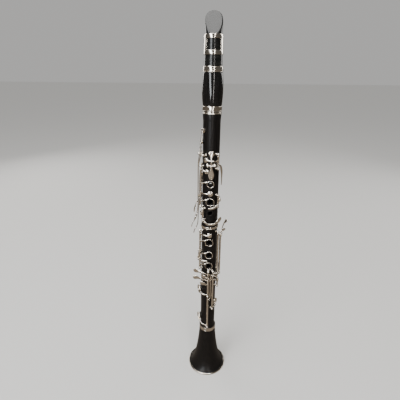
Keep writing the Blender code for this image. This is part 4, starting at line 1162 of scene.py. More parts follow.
@dataclass
class LowerKeys:
    """The keys of the lower joint, their cups and their hinges."""

    rings: Hinge = Hinge("lower_ring_hinge_rod", -64, (low(138.5), low(216.5)))
    sliver: Hinge = Hinge("right_sliver_hinge_rod", -86, (low(153.0), low(172.0)))
    long_rod: Hinge = Hinge("long_hinge_rod", -4, (low(6.0), low(80.0), low(135.5)))
    f_sharp: Hinge = Hinge("f_sharp_hinge_rod", 24, (low(50.0), low(135.5)))
    a_flat: Hinge = Hinge("a_flat_hinge_rod", 62, (low(98.5), low(117.0)))
    left_f_sharp: Hinge = Hinge("left_f_sharp_hinge_rod", 54, (low(125.5), low(214.5)))
    left_e: Hinge = Hinge("left_e_b_hinge_rod", 80, (low(124.5), low(207.0)), 6.1 * MM)
    vent: tuple = (0.0, low(211.0), 4.7 * MM)
    sliver_cup: tuple = (-122.0, low(164.0), 4.2 * MM)
    f_cup: tuple = (-80.0, low(88.0), 8.0 * MM)
    e_cup: tuple = (-80.0, low(21.5), 8.0 * MM)
    f_sharp_cup: tuple = (56.0, low(62.0), 6.4 * MM)
    a_flat_cup: tuple = (98.0, low(108.0), 6.4 * MM)
    finger_rings: tuple = tuple((0.0, low(height), 7.4 * MM) for height in (196.0, 170.0, 147.5))

    def hinges(self) -> tuple[Hinge, ...]:
        """Every hinge of the joint."""
        return (self.rings, self.sliver, self.long_rod, self.f_sharp, self.a_flat,
                self.left_f_sharp, self.left_e)

    def keys(self) -> list[Key]:
        """Lays out every key of the joint.

        Returns:
            The keys.
        """
        base, lift = LOWER_BASE, 2.2 * MM
        riser = ((-4, 5.7, 73), (4, 6.0, 74.5), (10, 5.4, 78), (10, 5.0, 84), (10, 5.0, 126),
                 (17, 8.2, 128.4), (24, 9.6, 128.6),
                 (38, 10.5, 128.6))
        return [
            Key("lower_ring_key", self.rings, (self.vent,), self.finger_rings, (
                arm(((-64, 5.9, 211), (-40, 5.4, 211), (-18, 5.0, 211)), self.vent, base),
            ), self.rings.opened(0, 1.3 * MM)),
            Key("right_sliver_key", self.sliver, (self.sliver_cup,), (), (
                arm(((-86, 5.7, 164), (-104, 5.4, 164)), self.sliver_cup, base),
                touch(((-86, 5.9, 159), (-76, 8.2, 158.8), (-64, 9.0, 158.6), (-46, 8.4, 158.6),
                       (-24, 6.4, 158.7), (-8, 5.8, 158.8)),
                      (2.6, 2.6, 2.6, 3.2, 3.8, 2.8)),
            )),
            Key("f_c_key", self.long_rod, (self.f_cup,), (), (
                arm(((-4, 5.7, 84.4), (-25, 6.4, 85), (-50, 5.8, 86.4)), self.f_cup, base, 2.8),
                touch(((-4, 5.7, 107.5), (-14, 6.8, 109), (-24, 8.0, 111), (-34, 9.0, 112),
                       (-43, 10.0, 112.5)), (2.6, 3.0, 6.0, 7.4, 6.0)),
            ), self.long_rod.opened(-80, lift), (1,)),
            Key("e_b_key", self.long_rod, (self.e_cup,), (), (
                arm(((-4, 5.7, 10.5), (-25, 6.2, 12), (-50, 5.6, 16)), self.e_cup, base, 2.8),
                touch(riser, (2.2,) * len(riser), 1.1),
                touch(((11, 5.0, 116), (4, 7.3, 117), (-4, 7.6, 118), (-16, 7.8, 119),
                       (-38, 9.2, 121.5), (-51, 11.8, 123), (-59, 15.0, 123.4), (-64, 18.4, 123.4)),
                      (2.2, 2.4, 2.6, 2.6, 3.4, 6.0, 8.2, 7.0)),
            ), self.long_rod.opened(-80, lift)),
            Key("f_sharp_c_sharp_key", self.f_sharp, (self.f_sharp_cup,), (), (
                arm(((24, 5.7, 55), (40, 5.9, 55.8)), self.f_sharp_cup, base, 2.8),
                touch(((24, 5.7, 131.6), (12, 8.6, 131.9), (-4, 9.6, 133.2), (-20, 10.8, 135.6),
                       (-40, 12.6, 137.2), (-54, 15.2, 137.6), (-62, 18.4, 137.6)),
                      (2.0, 2.2, 2.4, 2.8, 4.0, 8.2, 8.0)),
                touch(((24, 5.7, 131.8), (31, 7.2, 132.2), (39, 8.2, 132.2)), (2.0, 2.0, 2.0), 1.0),
            )),
            Key("a_flat_e_flat_key", self.a_flat, (self.a_flat_cup,), (), (
                arm(((62, 5.7, 107), (80, 5.4, 108)), self.a_flat_cup, base, 2.8),
                touch(((62, 5.7, 112), (52, 8.4, 115), (38, 9.6, 118.5), (22, 10.2, 121.5),
                       (8, 10.4, 123.6), (-6, 10.6, 125.6), (-16, 10.6, 127.4), (-27, 10.6, 129),
                       (-36, 10.8, 129.8)),
                      (2.6, 2.6, 2.6, 2.6, 2.8, 3.4, 6.0, 7.2, 6.0)),
            )),
            Key("left_f_sharp_lever", self.left_f_sharp, (), (), (
                touch(((54, 5.7, 131), (46, 6.5, 132.2), (37, 6.8, 132.2)), (2.2, 2.2, 2.2), 1.0),
                touch(((54, 5.7, 209), (62, 8.0, 214), (71, 11.6, 218), (77, 15.0, 219.5)),
                      (2.6, 4.0, 7.4, 6.4)),
            )),
            Key("left_e_b_lever", self.left_e, (), (), (
                touch(((80, 7.1, 129.5), (66, 8.4, 128.6), (54, 8.2, 128.6), (36, 7.0, 128.6)),
                      (2.2, 2.2, 2.2, 2.2), 1.0),
                touch(((80, 7.1, 201), (92, 8.8, 204), (99, 9.8, 216), (95, 12.4, 226),
                       (89, 15.2, 232), (85, 17.6, 234)),
                      (2.6, 2.6, 3.0, 4.4, 7.2, 6.4)),
            )),
        ]


# ---- the body -----------------------------------------------------------------------------------


@dataclass(frozen=True)
class Hole:
    """A tone hole: where it is, its cup's or ring's radius, and how it ends at the surface."""

    place: tuple[float, float, float]
    tone: Tone

    def sizes(self) -> tuple[float, float, float]:
        """The radius of the hole, the radius of its rim and the rim's height above the body.

        Returns:
            The three sizes, in that order.
        """
        radius = self.place[2]
        if self.tone is Tone.PADDED:
            return 0.50 * radius, 0.80 * radius, SEAT
        if self.tone is Tone.RINGED:
            rim = radius - RING_BAR - 1.1 * MM
            return rim - 1.1 * MM, rim, CHIMNEY
        return radius, radius + 1.3 * MM, 1.0 * MM

    def seat(self) -> Shape:
        """The raised seat or chimney, softened at its rim.

        Returns:
            The seat.
        """
        _, rim, tall = self.sizes()
        wall = 0.5 * (BODY + BORE)
        top = BODY + tall - wall
        foot = [(0.0, 0.0), (rim + 0.5 * MM, 0.0), (rim + 0.5 * MM, top - tall + 0.1 * MM)]
        outline = foot + [(rim, top - tall + 0.6 * MM), (rim, top), (0.0, top)]
        return lathe(softened(outline, 0.25 * MM, 3), 48,
                     facing(self.place[0], wall, self.place[1]))

    def drill(self) -> Shape:
        """Makes the cutter: the hole, with a bowl turned round its mouth under a pad.

        Returns:
            The cutter's shape.
        """
        hole, rim, tall = self.sizes()
        start = 0.35 * BORE
        top = BODY + tall - start
        if self.tone is Tone.PADDED:
            lip = rim - 0.45 * MM
            outline = [(0.0, 0.0), (hole, 0.0), (hole, top - 0.55 * MM), (lip, top - 0.35 * MM),
                       (lip + 0.15 * MM, top + 1 * MM), (0.0, top + 1 * MM)]
        else:
            outline = [(0.0, 0.0), (hole, 0.0), (hole, top - 0.4 * MM),
                       (hole + 0.5 * MM, top + 0.1 * MM), (hole + 0.5 * MM, top + 1 * MM),
                       (0.0, top + 1 * MM)]
        return lathe(outline, 40, facing(self.place[0], start, self.place[1]))


def tenon(end: float, way: Way, length: float) -> list[tuple[float, float]]:
    """Outline points of a tenon and its cork groove, from the joint's end outwards.

    Args:
        end: Height of the joint's end.
        way: The way that it points.
        length: Its length.

    Returns:
        Points of radius and height.
    """
    groove = TENON - CORK_THICK
    start, stop = CORK_SPAN[0] * length, CORK_SPAN[1] * length
    steps = [(TENON, 0.0), (TENON, start), (groove, start), (groove, stop), (TENON, stop),
             (TENON, length)]
    return [(radius, end + way.value * step) for radius, step in steps]


def band(name: str, start: float, tall: float, seat: float, body: str, finishes: Finishes) -> None:
    """A plated ring round a socket, with a rounded edge and a thin turned line near each end.

    Args:
        name: The node that it stands for.
        start: Its lower end.
        tall: Its height.
        seat: The radius of its bed.
        body: The body that it rides on.
        finishes: The shared materials.
    """
    inner, outer, line = seat + GAP, seat + GAP + 1.2 * MM, 0.14 * MM
    end = start + tall
    outline = [(inner, start), (outer, start), (outer, start + 0.7 * MM),
               (outer - line, start + 0.85 * MM), (outer, start + 1.0 * MM)]
    outline += [(outer, end - 1.0 * MM), (outer - line, end - 0.85 * MM), (outer, end - 0.7 * MM),
                (outer, end), (inner, end)]
    made = mesh_object(f"{name}_band", [lathe(softened(outline, 0.22 * MM, 3, loop=True), 96)],
                       [finishes.plate])
    fitted(made, body, "silver_plate", name)


@dataclass
class Wooden:
    """A turned wooden section: an outline, its tone holes and extra round cuts."""

    node: str
    outline: list
    holes: tuple[Hole, ...] = ()
    cuts: list = field(default_factory=list)
    glossy: bool = False

    def build(self, finishes: Finishes) -> None:
        """Turns the section, adds its seats and drills it.

        Args:
            finishes: The shared materials.
        """
        finish = finishes.gloss if self.glossy else finishes.wood
        made = mesh_object(f"{self.node}_wood",
                           [lathe(softened(self.outline, 0.35 * MM, 3, loop=True), 112)], [finish])
        if self.holes:
            joined(made, [hole.seat() for hole in self.holes], "UNION")
            joined(made, [hole.drill() for hole in self.holes] + self.cuts, "DIFFERENCE")
            smoothed(made, 32.0)
            made.data.materials.clear()
            made.data.materials.append(finish)
        fitted(made, self.node, "black_wood", self.node)


@dataclass
class Bell:
    """The bell with its socket ring and the ring round its rim."""

    length: float = 0.104
    rim: float = 0.0380
    neck: float = 0.0158
    wall: float = 0.0030
    ring_tall: float = 0.0078
    rim_wide: float = 0.0022
    rim_tall: float = 0.0032

    def radius(self, z: Array) -> Array:
        """The outer radius: a slow cone, and a flare that dies away above the rim.

        Args:
            z: Heights above the rim.

        Returns:
            The radii.
        """
        share = np.maximum(1.0 - z / (0.96 * self.length), 0.0)
        flare = 0.545 * share**1.5 + 0.455 * np.exp(-z / 0.012) * np.minimum(1.0, 8 * share)
        return self.neck + (self.rim - self.neck) * flare

    def build(self, finishes: Finishes) -> None:
        """Makes the bell and its two rings.

        Args:
            finishes: The shared materials.
        """
        bed = self.neck - 1.2 * MM
        ring_low = self.length - self.ring_tall - 1.2 * MM
        z = np.linspace(self.rim_tall + 1.0 * MM, ring_low - 1.0 * MM, 60)
        outer = np.stack([self.radius(z), z], axis=1)
        rim_bed, lip = self.rim - self.rim_wide, self.rim_tall + GAP
        start = [(rim_bed, 0.0), (rim_bed, lip), (float(self.radius(np.array(lip))), lip)]
        top = self.length - GAP / 2
        end = [(self.neck, ring_low - 0.5 * MM), (bed, ring_low - 0.5 * MM), (bed, top),
               (SOCKET, top)]
        floor = self.length - TENON_LENGTH - 0.5 * MM
        deep = np.linspace(floor - 1.0 * MM, 0.0, 60)
        wall = self.wall + (self.neck - BORE - self.wall) * deep / floor
        inner = np.stack([np.minimum(self.radius(deep), self.rim - 0.8 * MM) - wall, deep], axis=1)
        outline = np.concatenate([start, outer, end, [(SOCKET, floor), (BORE, floor)], inner])
        made = mesh_object("bell_wood", [lathe(softened(outline, 0.3 * MM, 3, loop=True), 144)],
                           [finishes.wood])
        fitted(made, "bell", "black_wood", "bell")
        band("bell_socket_ring", ring_low, self.ring_tall, bed, "bell", finishes)
        inside = rim_bed + GAP
        ring = [(inside, 0.0), (self.rim - 0.4 * MM, 0.0), (self.rim, 0.5 * MM),
                (self.rim, 0.7 * self.rim_tall)]
        ring += [(self.rim - 0.5 * MM, self.rim_tall), (inside, self.rim_tall)]
        made = mesh_object("bell_rim_band", [lathe(softened(ring, 0.5 * MM, 4, loop=True), 144)],
                           [finishes.plate])
        fitted(made, "bell", "silver_plate", "bell_rim_ring")


@dataclass
class Joints:
    """The lower joint, the upper joint and the barrel, with their rings, corks and linings."""

    socket_end: float = 0.0149
    barrel_end: float = 0.0148
    belly: float = 0.0162
    low_ring: float = 0.0045
    top_ring: float = 0.0030
    ring_tall: float = 0.0078
    thumb_tube: float = 0.0047
    vent_tube: float = 0.0024
    thumb_screws: tuple[float, float] = (low(155.5), low(176.0))

    def build(self, upper: UpperKeys, lower: LowerKeys, finishes: Finishes) -> None:
        """Makes every wooden section above the bell and what is fixed to it.

        Args:
            upper: The upper joint's keys, for their holes.
            lower: The lower joint's keys, for their holes.
            finishes: The shared materials.
        """
        self.lower_joint(lower, finishes)
        self.upper_joint(upper, finishes)
        self.barrel(finishes)
        self.linings(upper, finishes)
        self.corks(finishes)

    def lower_joint(self, keys: LowerKeys, finishes: Finishes) -> None:
        """Makes the lower joint and its socket ring.

        Args:
            keys: The lower joint's keys.
            finishes: The shared materials.
        """
        bottom, top = LOWER_BASE + GAP / 2, UPPER_BASE - GAP / 2
        bed = self.socket_end - 1.2 * MM
        ring_low = top - self.low_ring - 0.4 * MM
        outline = list(reversed(tenon(bottom, Way.DOWN, TENON_LENGTH)))
        outline += [(BODY + 0.6 * MM, bottom), (BODY + 0.6 * MM, bottom + 1.5 * MM),
                    (BODY, bottom + 3.0 * MM)]
        outline += [(BODY, ring_low - 1.5 * MM), (self.socket_end, ring_low - GAP),
                    (bed, ring_low - GAP), (bed, top)]
        floor = top - MIDDLE_TENON - 0.5 * MM
        outline += [(SOCKET, top), (SOCKET, floor), (BORE, floor), (BORE, bottom - TENON_LENGTH)]
        cups = (keys.vent, keys.sliver_cup, keys.f_cup, keys.e_cup, keys.f_sharp_cup,
                keys.a_flat_cup)
        holes = tuple(Hole(place, Tone.PADDED) for place in cups)
        holes += tuple(Hole(place, Tone.RINGED) for place in keys.finger_rings)
        cuts = [rod(polar(180, BORE + 2.5 * MM, z), polar(180, BODY + 2 * MM, z),
                    1.5 * MM) for z in self.thumb_screws]
        Wooden("lower_joint", outline, holes, cuts).build(finishes)
        band("lower_joint_socket_ring", UPPER_BASE - self.low_ring - 0.4 * MM, self.low_ring, bed,
             "lower_joint", finishes)

    def upper_joint(self, keys: UpperKeys, finishes: Finishes) -> None:
        """Makes the upper joint and its top ring.

        Args:
            keys: The upper joint's keys.
            finishes: The shared materials.
        """
        bottom, top = UPPER_BASE + GAP / 2, BARREL_BASE - GAP / 2
        bed = self.barrel_end - 1.2 * MM
        ring_low = top - self.top_ring - 0.4 * MM
        outline = list(reversed(tenon(bottom, Way.DOWN, MIDDLE_TENON)))
        outline += [(BODY + 0.6 * MM, bottom), (BODY + 0.6 * MM, bottom + 1.5 * MM),
                    (BODY, bottom + 3.0 * MM)]
        outline += [(BODY, top - 14.0 * MM), (self.barrel_end, ring_low - GAP),
                    (bed, ring_low - GAP), (bed, top)]
        outline += tenon(top, Way.UP, TENON_LENGTH)
        outline += [(BORE, top + TENON_LENGTH), (BORE, bottom - MIDDLE_TENON)]
        cups = (keys.a_cup, keys.g_cup, keys.top_vent, keys.second_vent, keys.sliver_cup,
                keys.c_cup, *keys.side_cups)
        holes = tuple(Hole(place, Tone.PADDED) for place in cups)
        holes += (Hole(keys.first_ring, Tone.RINGED), Hole(keys.second_ring, Tone.RINGED),
                  Hole(keys.third_hole, Tone.PLAIN))
        places = ((keys.thumb_ring, self.thumb_tube), (keys.register_cup, self.vent_tube))
        cuts = [rod(polar(180, 2.6 * MM, z), polar(180, BODY + 3 * MM, z), radius + 0.05 * MM,
                    40) for (_, z, _), radius in places]
        Wooden("upper_joint", outline, holes, cuts).build(finishes)
        band("upper_joint_ring", BARREL_BASE - self.top_ring - 0.4 * MM, self.top_ring, bed,
             "upper_joint", finishes)

    def barrel(self, finishes: Finishes) -> None:
        """Makes the barrel, whose belly swells as a sine to the power 0.8, and its two rings.

        Args:
            finishes: The shared materials.
        """
        bottom, top = BARREL_BASE + GAP / 2, MOUTH_BASE - GAP / 2
        bed = self.barrel_end - 1.2 * MM
        start, end = bottom + self.ring_tall + 1.0 * MM, top - self.ring_tall - 1.0 * MM
        share = np.linspace(0, 1, 40)
        belly = self.barrel_end + np.abs(np.sin(pi * share)) ** 0.8 * (self.belly - self.barrel_end)
        curve = list(zip(belly.tolist(), (start + share * (end - start)).tolist()))
        deep = TENON_LENGTH + 0.5 * MM
        outline = [(bed, bottom), (bed, start), *curve, (bed, end), (bed, top), (SOCKET, top),
                   (SOCKET, top - deep)]
        outline += [(BORE, top - deep), (BORE, bottom + deep), (SOCKET, bottom + deep),
                    (SOCKET, bottom)]
        Wooden("barrel", outline, glossy=True).build(finishes)
        band("barrel_ring_lower", bottom + 0.4 * MM, self.ring_tall, bed, "barrel", finishes)
        band("barrel_ring_upper", top - self.ring_tall - 0.4 * MM, self.ring_tall, bed, "barrel",
             finishes)

    def linings(self, keys: UpperKeys, finishes: Finishes) -> None:
        """Makes the metal tubes of the thumb hole and of the register vent.

        Args:
            keys: The upper joint's keys.
            finishes: The shared materials.
        """
        places = (
            ("thumb_hole_tube", keys.thumb_ring, self.thumb_tube, 2.2 * MM),
            ("register_vent_tube", keys.register_cup, self.vent_tube, SEAT),
        )
        for node, (azimuth, z, _), radius, rise in places:
            start = (BORE**2 - radius**2) ** 0.5 + 0.4 * MM
            inner, tall = radius - 0.7 * MM, BODY + rise - start
            outline = softened([(inner, 0.0), (radius, 0.0), (radius, tall), (inner, tall)],
                               0.25 * MM, 4, loop=True)
            made = mesh_object(f"{node}_lining", [lathe(outline, 48, facing(azimuth, start, z))],
                               [finishes.plate])
            fitted(made, "upper_joint", "silver_plate", node)

    def corks(self, finishes: Finishes) -> None:
        """Makes the cork sleeve of each tenon.

        Args:
            finishes: The shared materials.
        """
        places = (
            ("bell_tenon_cork", LOWER_BASE + GAP / 2, Way.DOWN, TENON_LENGTH, "lower_joint"),
            ("middle_tenon_cork", UPPER_BASE + GAP / 2, Way.DOWN, MIDDLE_TENON, "upper_joint"),
            ("upper_tenon_cork", BARREL_BASE - GAP / 2, Way.UP, TENON_LENGTH, "upper_joint"),
            ("mouthpiece_cork", MOUTH_BASE + GAP / 2, Way.DOWN, TENON_LENGTH, "mouthpiece"),
        )
        for node, end, way, length, body in places:
            inner, outer = TENON - CORK_THICK + 0.05 * MM, SOCKET - GAP
            low_end, high_end = sorted(end + way.value * share * length for share in CORK_SPAN)
            outline = [(inner, low_end), (outer, low_end), (outer, high_end), (inner, high_end)]
            made = mesh_object(f"{node}_sleeve",
                               [lathe(softened(outline, 0.3 * MM, 4, loop=True), 80)],
                               [finishes.cork])
            fitted(made, body, "cork", node)


@dataclass
class ThumbRest:
    """The plate and hook under the right thumb, and the two screws that hold it."""

    screws: tuple[float, float] = (low(155.5), low(176.0))

    def build(self, finishes: Finishes) -> None:
        """Makes the rest and its screws.

        Args:
            finishes: The shared materials.
        """
        plate = Bar(((180, 1.3, 152.0, 11.0), (180, 1.3, 166.0, 11.4), (180, 1.3, 179.5, 9.0)), 1.6,
                    True, power=5.0)
        hook = Bar(((180, 1.3, 163.8, 11.0), (180, 5.0, 163.6, 11.2), (180, 11.0, 162.2, 11.2),
                    (180, 15.6, 160.2, 11.0), (180, 17.8, 158.4, 10.0)),
                   2.0, across=True, power=4.0)
        shapes = [plate.shape(LOWER_BASE), hook.shape(LOWER_BASE)]
        fitted(mesh_object("thumb_rest_metal", shapes, [finishes.plate]), "lower_joint",
               "silver_plate", "thumb_rest")
        for node, z in zip(("thumb_rest_screw_lower", "thumb_rest_screw_upper"), self.screws):
            head = [(0.0, 0.0), (2.3 * MM, 0.0), (2.3 * MM, 0.5 * MM), (1.4 * MM, 1.0 * MM),
                    (0.0, 1.1 * MM)]
            parts = [lathe(softened(head, 0.3 * MM), 36, facing(180, BODY + 2.2 * MM, z))]
            parts.append(rod(polar(180, BORE + 2.8 * MM, z), polar(180, BODY + 2.6 * MM, z),
                             1.1 * MM))
            made = mesh_object(f"{node}_metal", parts, [finishes.plate])
            slot_end = polar(180, BODY + 3.3 * MM, z)
            joined(made, [rod(slot_end - (3 * MM, 0, 0), slot_end + (3 * MM, 0, 0), 0.3 * MM, 12)],
                   "DIFFERENCE")
            made.data.materials.clear()
            made.data.materials.append(finishes.plate)
            fitted(made, "lower_joint", "silver_plate", node)


@dataclass
class Mouthpiece:
    """The mouthpiece, its reed, and the ligature that holds the reed."""

    low_radius: float = 0.0138
    high_radius: float = 0.0128
    beak: float = 0.0335
    tip_thick: float = 0.0012
    tip_round: float = 0.0033
    table: float = 0.0084
    reed_thick: float = 0.0025
    reed_length: float = 0.0640
    reed_half: float = 0.0060
    ligature_top: float = TIP - 0.0315
    ligature_length: float = 0.0265
    band_wide: float = 0.0056
    sheet: float = 0.0005
    lug: float = 0.0022

    def radius(self, z: Array) -> Array:
        """The outer radius, which narrows evenly up to the beak."""
        share = np.clip((z - MOUTH_BASE) / (TIP - self.beak - MOUTH_BASE), 0, 1)
        return self.low_radius + (self.high_radius - self.low_radius) * share

    def build(self, finishes: Finishes) -> None:
        """Makes the mouthpiece, the reed, the ligature and its screws.

        Args:
            finishes: The shared materials.
        """
        self.body(finishes)
        self.reed(finishes)
        self.ligature(finishes)

    def body(self, finishes: Finishes) -> None:
        """Makes the mouthpiece: in each section, the least of the distances to its limits.

        From a middle that moves towards the table, the reach in each direction is a soft least
        of the reaches to the round body, the sloping beak and the flat table: the sum of their
        inverses to a high power, to minus one over that power. The sides are then drawn in to
        a half width that grows from the tip as one minus e to the minus (distance / round) to
        the power 0.7.

        Args:
            finishes: The shared materials.
        """
        power, turn = 14.0, np.linspace(0, 2 * pi, 128, endpoint=False)
        foot = TIP - self.beak
        table_low = TIP - self.reed_length - 1.0 * MM
        heights = [np.linspace(TIP - 0.05 * MM, foot, 64),
                   np.linspace(foot - 0.6 * MM, table_low + 0.1 * MM, 24)]
        heights.append(np.linspace(table_low - 0.1 * MM, MOUTH_BASE + GAP / 2, 10))
        z = np.concatenate(heights)[:, None]
        up_beak = np.clip((z - foot) / self.beak, 0, 1)
        lip = self.table - self.tip_thick
        middle = (self.table - self.tip_thick / 2) * up_beak
        slope = np.where(z > foot, -self.high_radius + (lip + self.high_radius) * up_beak, -1.0)
        flat = np.where(z > table_low, self.table, 1.0)
        from_tip = np.maximum(TIP - z, 0.05 * MM)
        half = self.high_radius * (1 - np.exp(-((from_tip / self.tip_round) ** 0.7)))
        squeeze = np.where(z > foot, np.minimum(half / np.sqrt(self.high_radius**2 - middle**2),
                                                1.0), 1.0)
        ahead = np.cos(turn)[None, :]
        toward = middle * ahead
        reach = toward + np.sqrt(toward**2 + self.radius(z) ** 2 - middle**2)
        limits = np.stack([
            1 / reach,
            np.maximum(ahead, 0) / (middle - slope),
            np.maximum(-ahead, 0) / (flat - middle),
        ])
        out = (limits**power).sum(axis=0) ** (-1 / power)
        outside = np.stack([out * np.sin(turn) * squeeze, middle - out * np.cos(turn), z + 0 * out],
                           axis=-1)
        bottom = MOUTH_BASE + GAP / 2
        bore_top = foot - 6 * MM
        turned = softened([*tenon(bottom, Way.DOWN, TENON_LENGTH), (BORE, bottom - TENON_LENGTH),
                           (BORE, bore_top), (0.05 * MM, bore_top)], 0.3 * MM, 3)
        inside = np.stack([turned[:, :1] * np.sin(turn), -turned[:, :1] * np.cos(turn),
                           turned[:, 1:] + 0 * turn], axis=-1)
        whole = skin(np.concatenate([outside, inside]))
        made = mesh_object("mouthpiece_rubber", [whole], [finishes.rubber])
        fitted(made, "mouthpiece", "mouthpiece_rubber", "mouthpiece")

    def reed(self, finishes: Finishes) -> None:
        """Makes the reed: flat below, crowned above, and thinned evenly to its rounded tip.

        Args:
            finishes: The shared materials.
        """
        start, end = TIP - self.reed_length, TIP - 0.3 * MM
        share = np.linspace(0, 1, 90)
        z = (start + (end - start) * (1 - (1 - share) ** 1.6))[:, None]
        face = self.table + GAP
        near_tip = np.clip((TIP - z) / (12 * MM), 0.02, 1)
        half = self.reed_half * (1 - (1 - near_tip) ** 3) ** (1 / 3)
        vamp = np.clip((z - (TIP - self.beak + 1 * MM)) / (self.beak - 1 * MM), 0, 1)
        thick = self.reed_thick * (1 - vamp) ** 1.15 + 0.25 * MM * vamp
        turn = np.linspace(0, 2 * pi, 56, endpoint=False)[None, :]
        across = np.sign(np.cos(turn)) * np.abs(np.cos(turn)) ** 0.7
        crown = np.where(np.sin(turn) > 0.01, 1 - (0.55 - 0.25 * vamp) * across**2, 0.0)
        grid = np.stack([half * across, face + thick * crown, z + 0 * across], axis=-1)
        made = mesh_object("reed_cane", [skin(grid)], [finishes.cane])
        fitted(made, "mouthpiece", "cane", "reed")

    def ligature(self, finishes: Finishes) -> None:
        """Makes the ligature: two bands joined at the sides, and a screw through each pair of lugs.

        The sheet is a grid of azimuth and height on the mouthpiece's cone, without the cells of
        the front window, the back window and the slit, and its walls are raised afterwards.

        Args:
            finishes: The shared materials.
        """
        low_edge = self.ligature_top - self.ligature_length
        z = np.concatenate([
            np.linspace(low_edge, low_edge + self.band_wide, 9),
            np.linspace(low_edge + self.band_wide, self.ligature_top - self.band_wide, 13)[1:-1],
            np.linspace(self.ligature_top - self.band_wide, self.ligature_top, 9),
        ])
        azimuth = np.linspace(-171.5, 171.5, 147)
        across, height = np.meshgrid((azimuth[1:] + azimuth[:-1]) / 2, (z[1:] + z[:-1]) / 2)
        window = (height > low_edge + self.band_wide) & (height < self.ligature_top
                                                         - self.band_wide)
        bar = (np.abs(across) > 47) & (np.abs(across) < 133)
        keep = ~window | bar
        swell = np.sin(np.clip((z - low_edge) % (self.ligature_length
                                                 - self.band_wide) / self.band_wide, 0, 1) * pi)
        grid = polar(azimuth[None, :], (self.radius(z) + GAP + 0.12 * MM * swell)[:, None],
                     z[:, None])
        i, j = np.nonzero(keep)
        wide = len(azimuth)
        faces = np.stack([i * wide + j, i * wide + j + 1, (i + 1) * wide + j + 1,
                          (i + 1) * wide + j], axis=-1)
        mesh = bpy.data.meshes.new("ligature_sheet")
        mesh.from_pydata(grid.reshape(-1, 3).tolist(), [], faces.tolist())
        shell = bmesh.new()
        shell.from_mesh(mesh)
        bmesh.ops.delete(shell, geom=[v for v in shell.verts if not v.link_faces], context="VERTS")
        shell.to_mesh(mesh)
        shell.free()
        mesh.materials.append(finishes.plate)
        sheet = bpy.data.objects.new("ligature_sheet", mesh)
        bpy.context.scene.collection.objects.link(sheet)
        wall = sheet.modifiers.new("wall", "SOLIDIFY")
        wall.thickness, wall.offset = self.sheet, 1.0
        edge = sheet.modifiers.new("edge", "BEVEL")
        edge.width, edge.segments, edge.limit_method = 0.18 * MM, 2, "ANGLE"
        smoothed(sheet)
        fitted(sheet, "ligature", "silver_plate", "ligature")
        screw_y = self.high_radius + 4.4 * MM
        heights = {"upper": self.ligature_top - self.band_wide / 2,
                   "lower": low_edge + self.band_wide / 2}
        lugs = []
        for z_screw in heights.values():
            for way in (-1, 1):
                inner, outer = way * self.lug, way * 2 * self.lug
                rows = np.array(Matrix.Translation((inner, screw_y,
                                                    z_screw)) @ Matrix.Rotation(way * pi / 2, 4,
                                                                                "Y"))
                thick = abs(outer - inner)
                outline = softened([(1.2 * MM, 0.0), (2.2 * MM, 0.0), (2.2 * MM, thick),
                                    (1.2 * MM, thick)], 0.25 * MM, 3, loop=True)
                lugs.append(lathe(outline, 32, rows))
                foot = [(0.0, 0.0), (1.7 * MM, 0.0), (1.7 * MM, 3.4 * MM), (0.0, 3.4 * MM)]
                rows = np.array(Matrix.Translation(((inner + outer) / 2,
                                                    self.high_radius + 0.2 * MM,
                                                    z_screw)) @ Matrix.Rotation(-pi / 2, 4, "X"))
                rows[:3, 0] *= 0.62
                lugs.append(lathe(softened(foot, 0.3 * MM), 24, rows))
        fitted(mesh_object("ligature_lugs", lugs, [finishes.plate]), "ligature", "silver_plate")
        for place, z_screw in heights.items():
            self.screw(f"ligature_screw_{place}", screw_y, z_screw, finishes)

    def screw(self, node: str, y: float, z: float, finishes: Finishes) -> None:
        """Makes a screw whose flat round head has a knurled edge: its radius waves round it.

        Args:
            node: The node that it stands for.
            y: The place of its axis.
            z: The height of its axis.
            finishes: The shared materials.
        """
        turn = np.linspace(0, 2 * pi, 108, endpoint=False)
        head = softened([(0.9 * MM, 0.0), (3.3 * MM, 0.0), (3.3 * MM, 1.6 * MM),
                         (1.6 * MM, 1.6 * MM), (1.4 * MM, 1.2 * MM), (0.0, 1.2 * MM)][::-1],
                         0.3 * MM, 4)
        wave = 1 + 0.022 * np.cos(27 * turn) * np.clip((head[:, :1] - 2.6 * MM) / (0.7 * MM), 0, 1)
        radius = head[:, :1] * wave
        grid = np.stack([-14.0 * MM + 1.6 * MM - head[:, 1:] + 0 * turn, y + radius * np.cos(turn),
                         z + radius * np.sin(turn)], axis=-1)
        shapes = [skin(grid), rod((-13.0 * MM, y, z), (5.9 * MM, y, z), 0.9 * MM, 20)]
        made = mesh_object(f"{node}_metal", shapes, [finishes.plate])
        fitted(made, node, "silver_plate", node)


# ---- the studio ---------------------------------------------------------------------------------


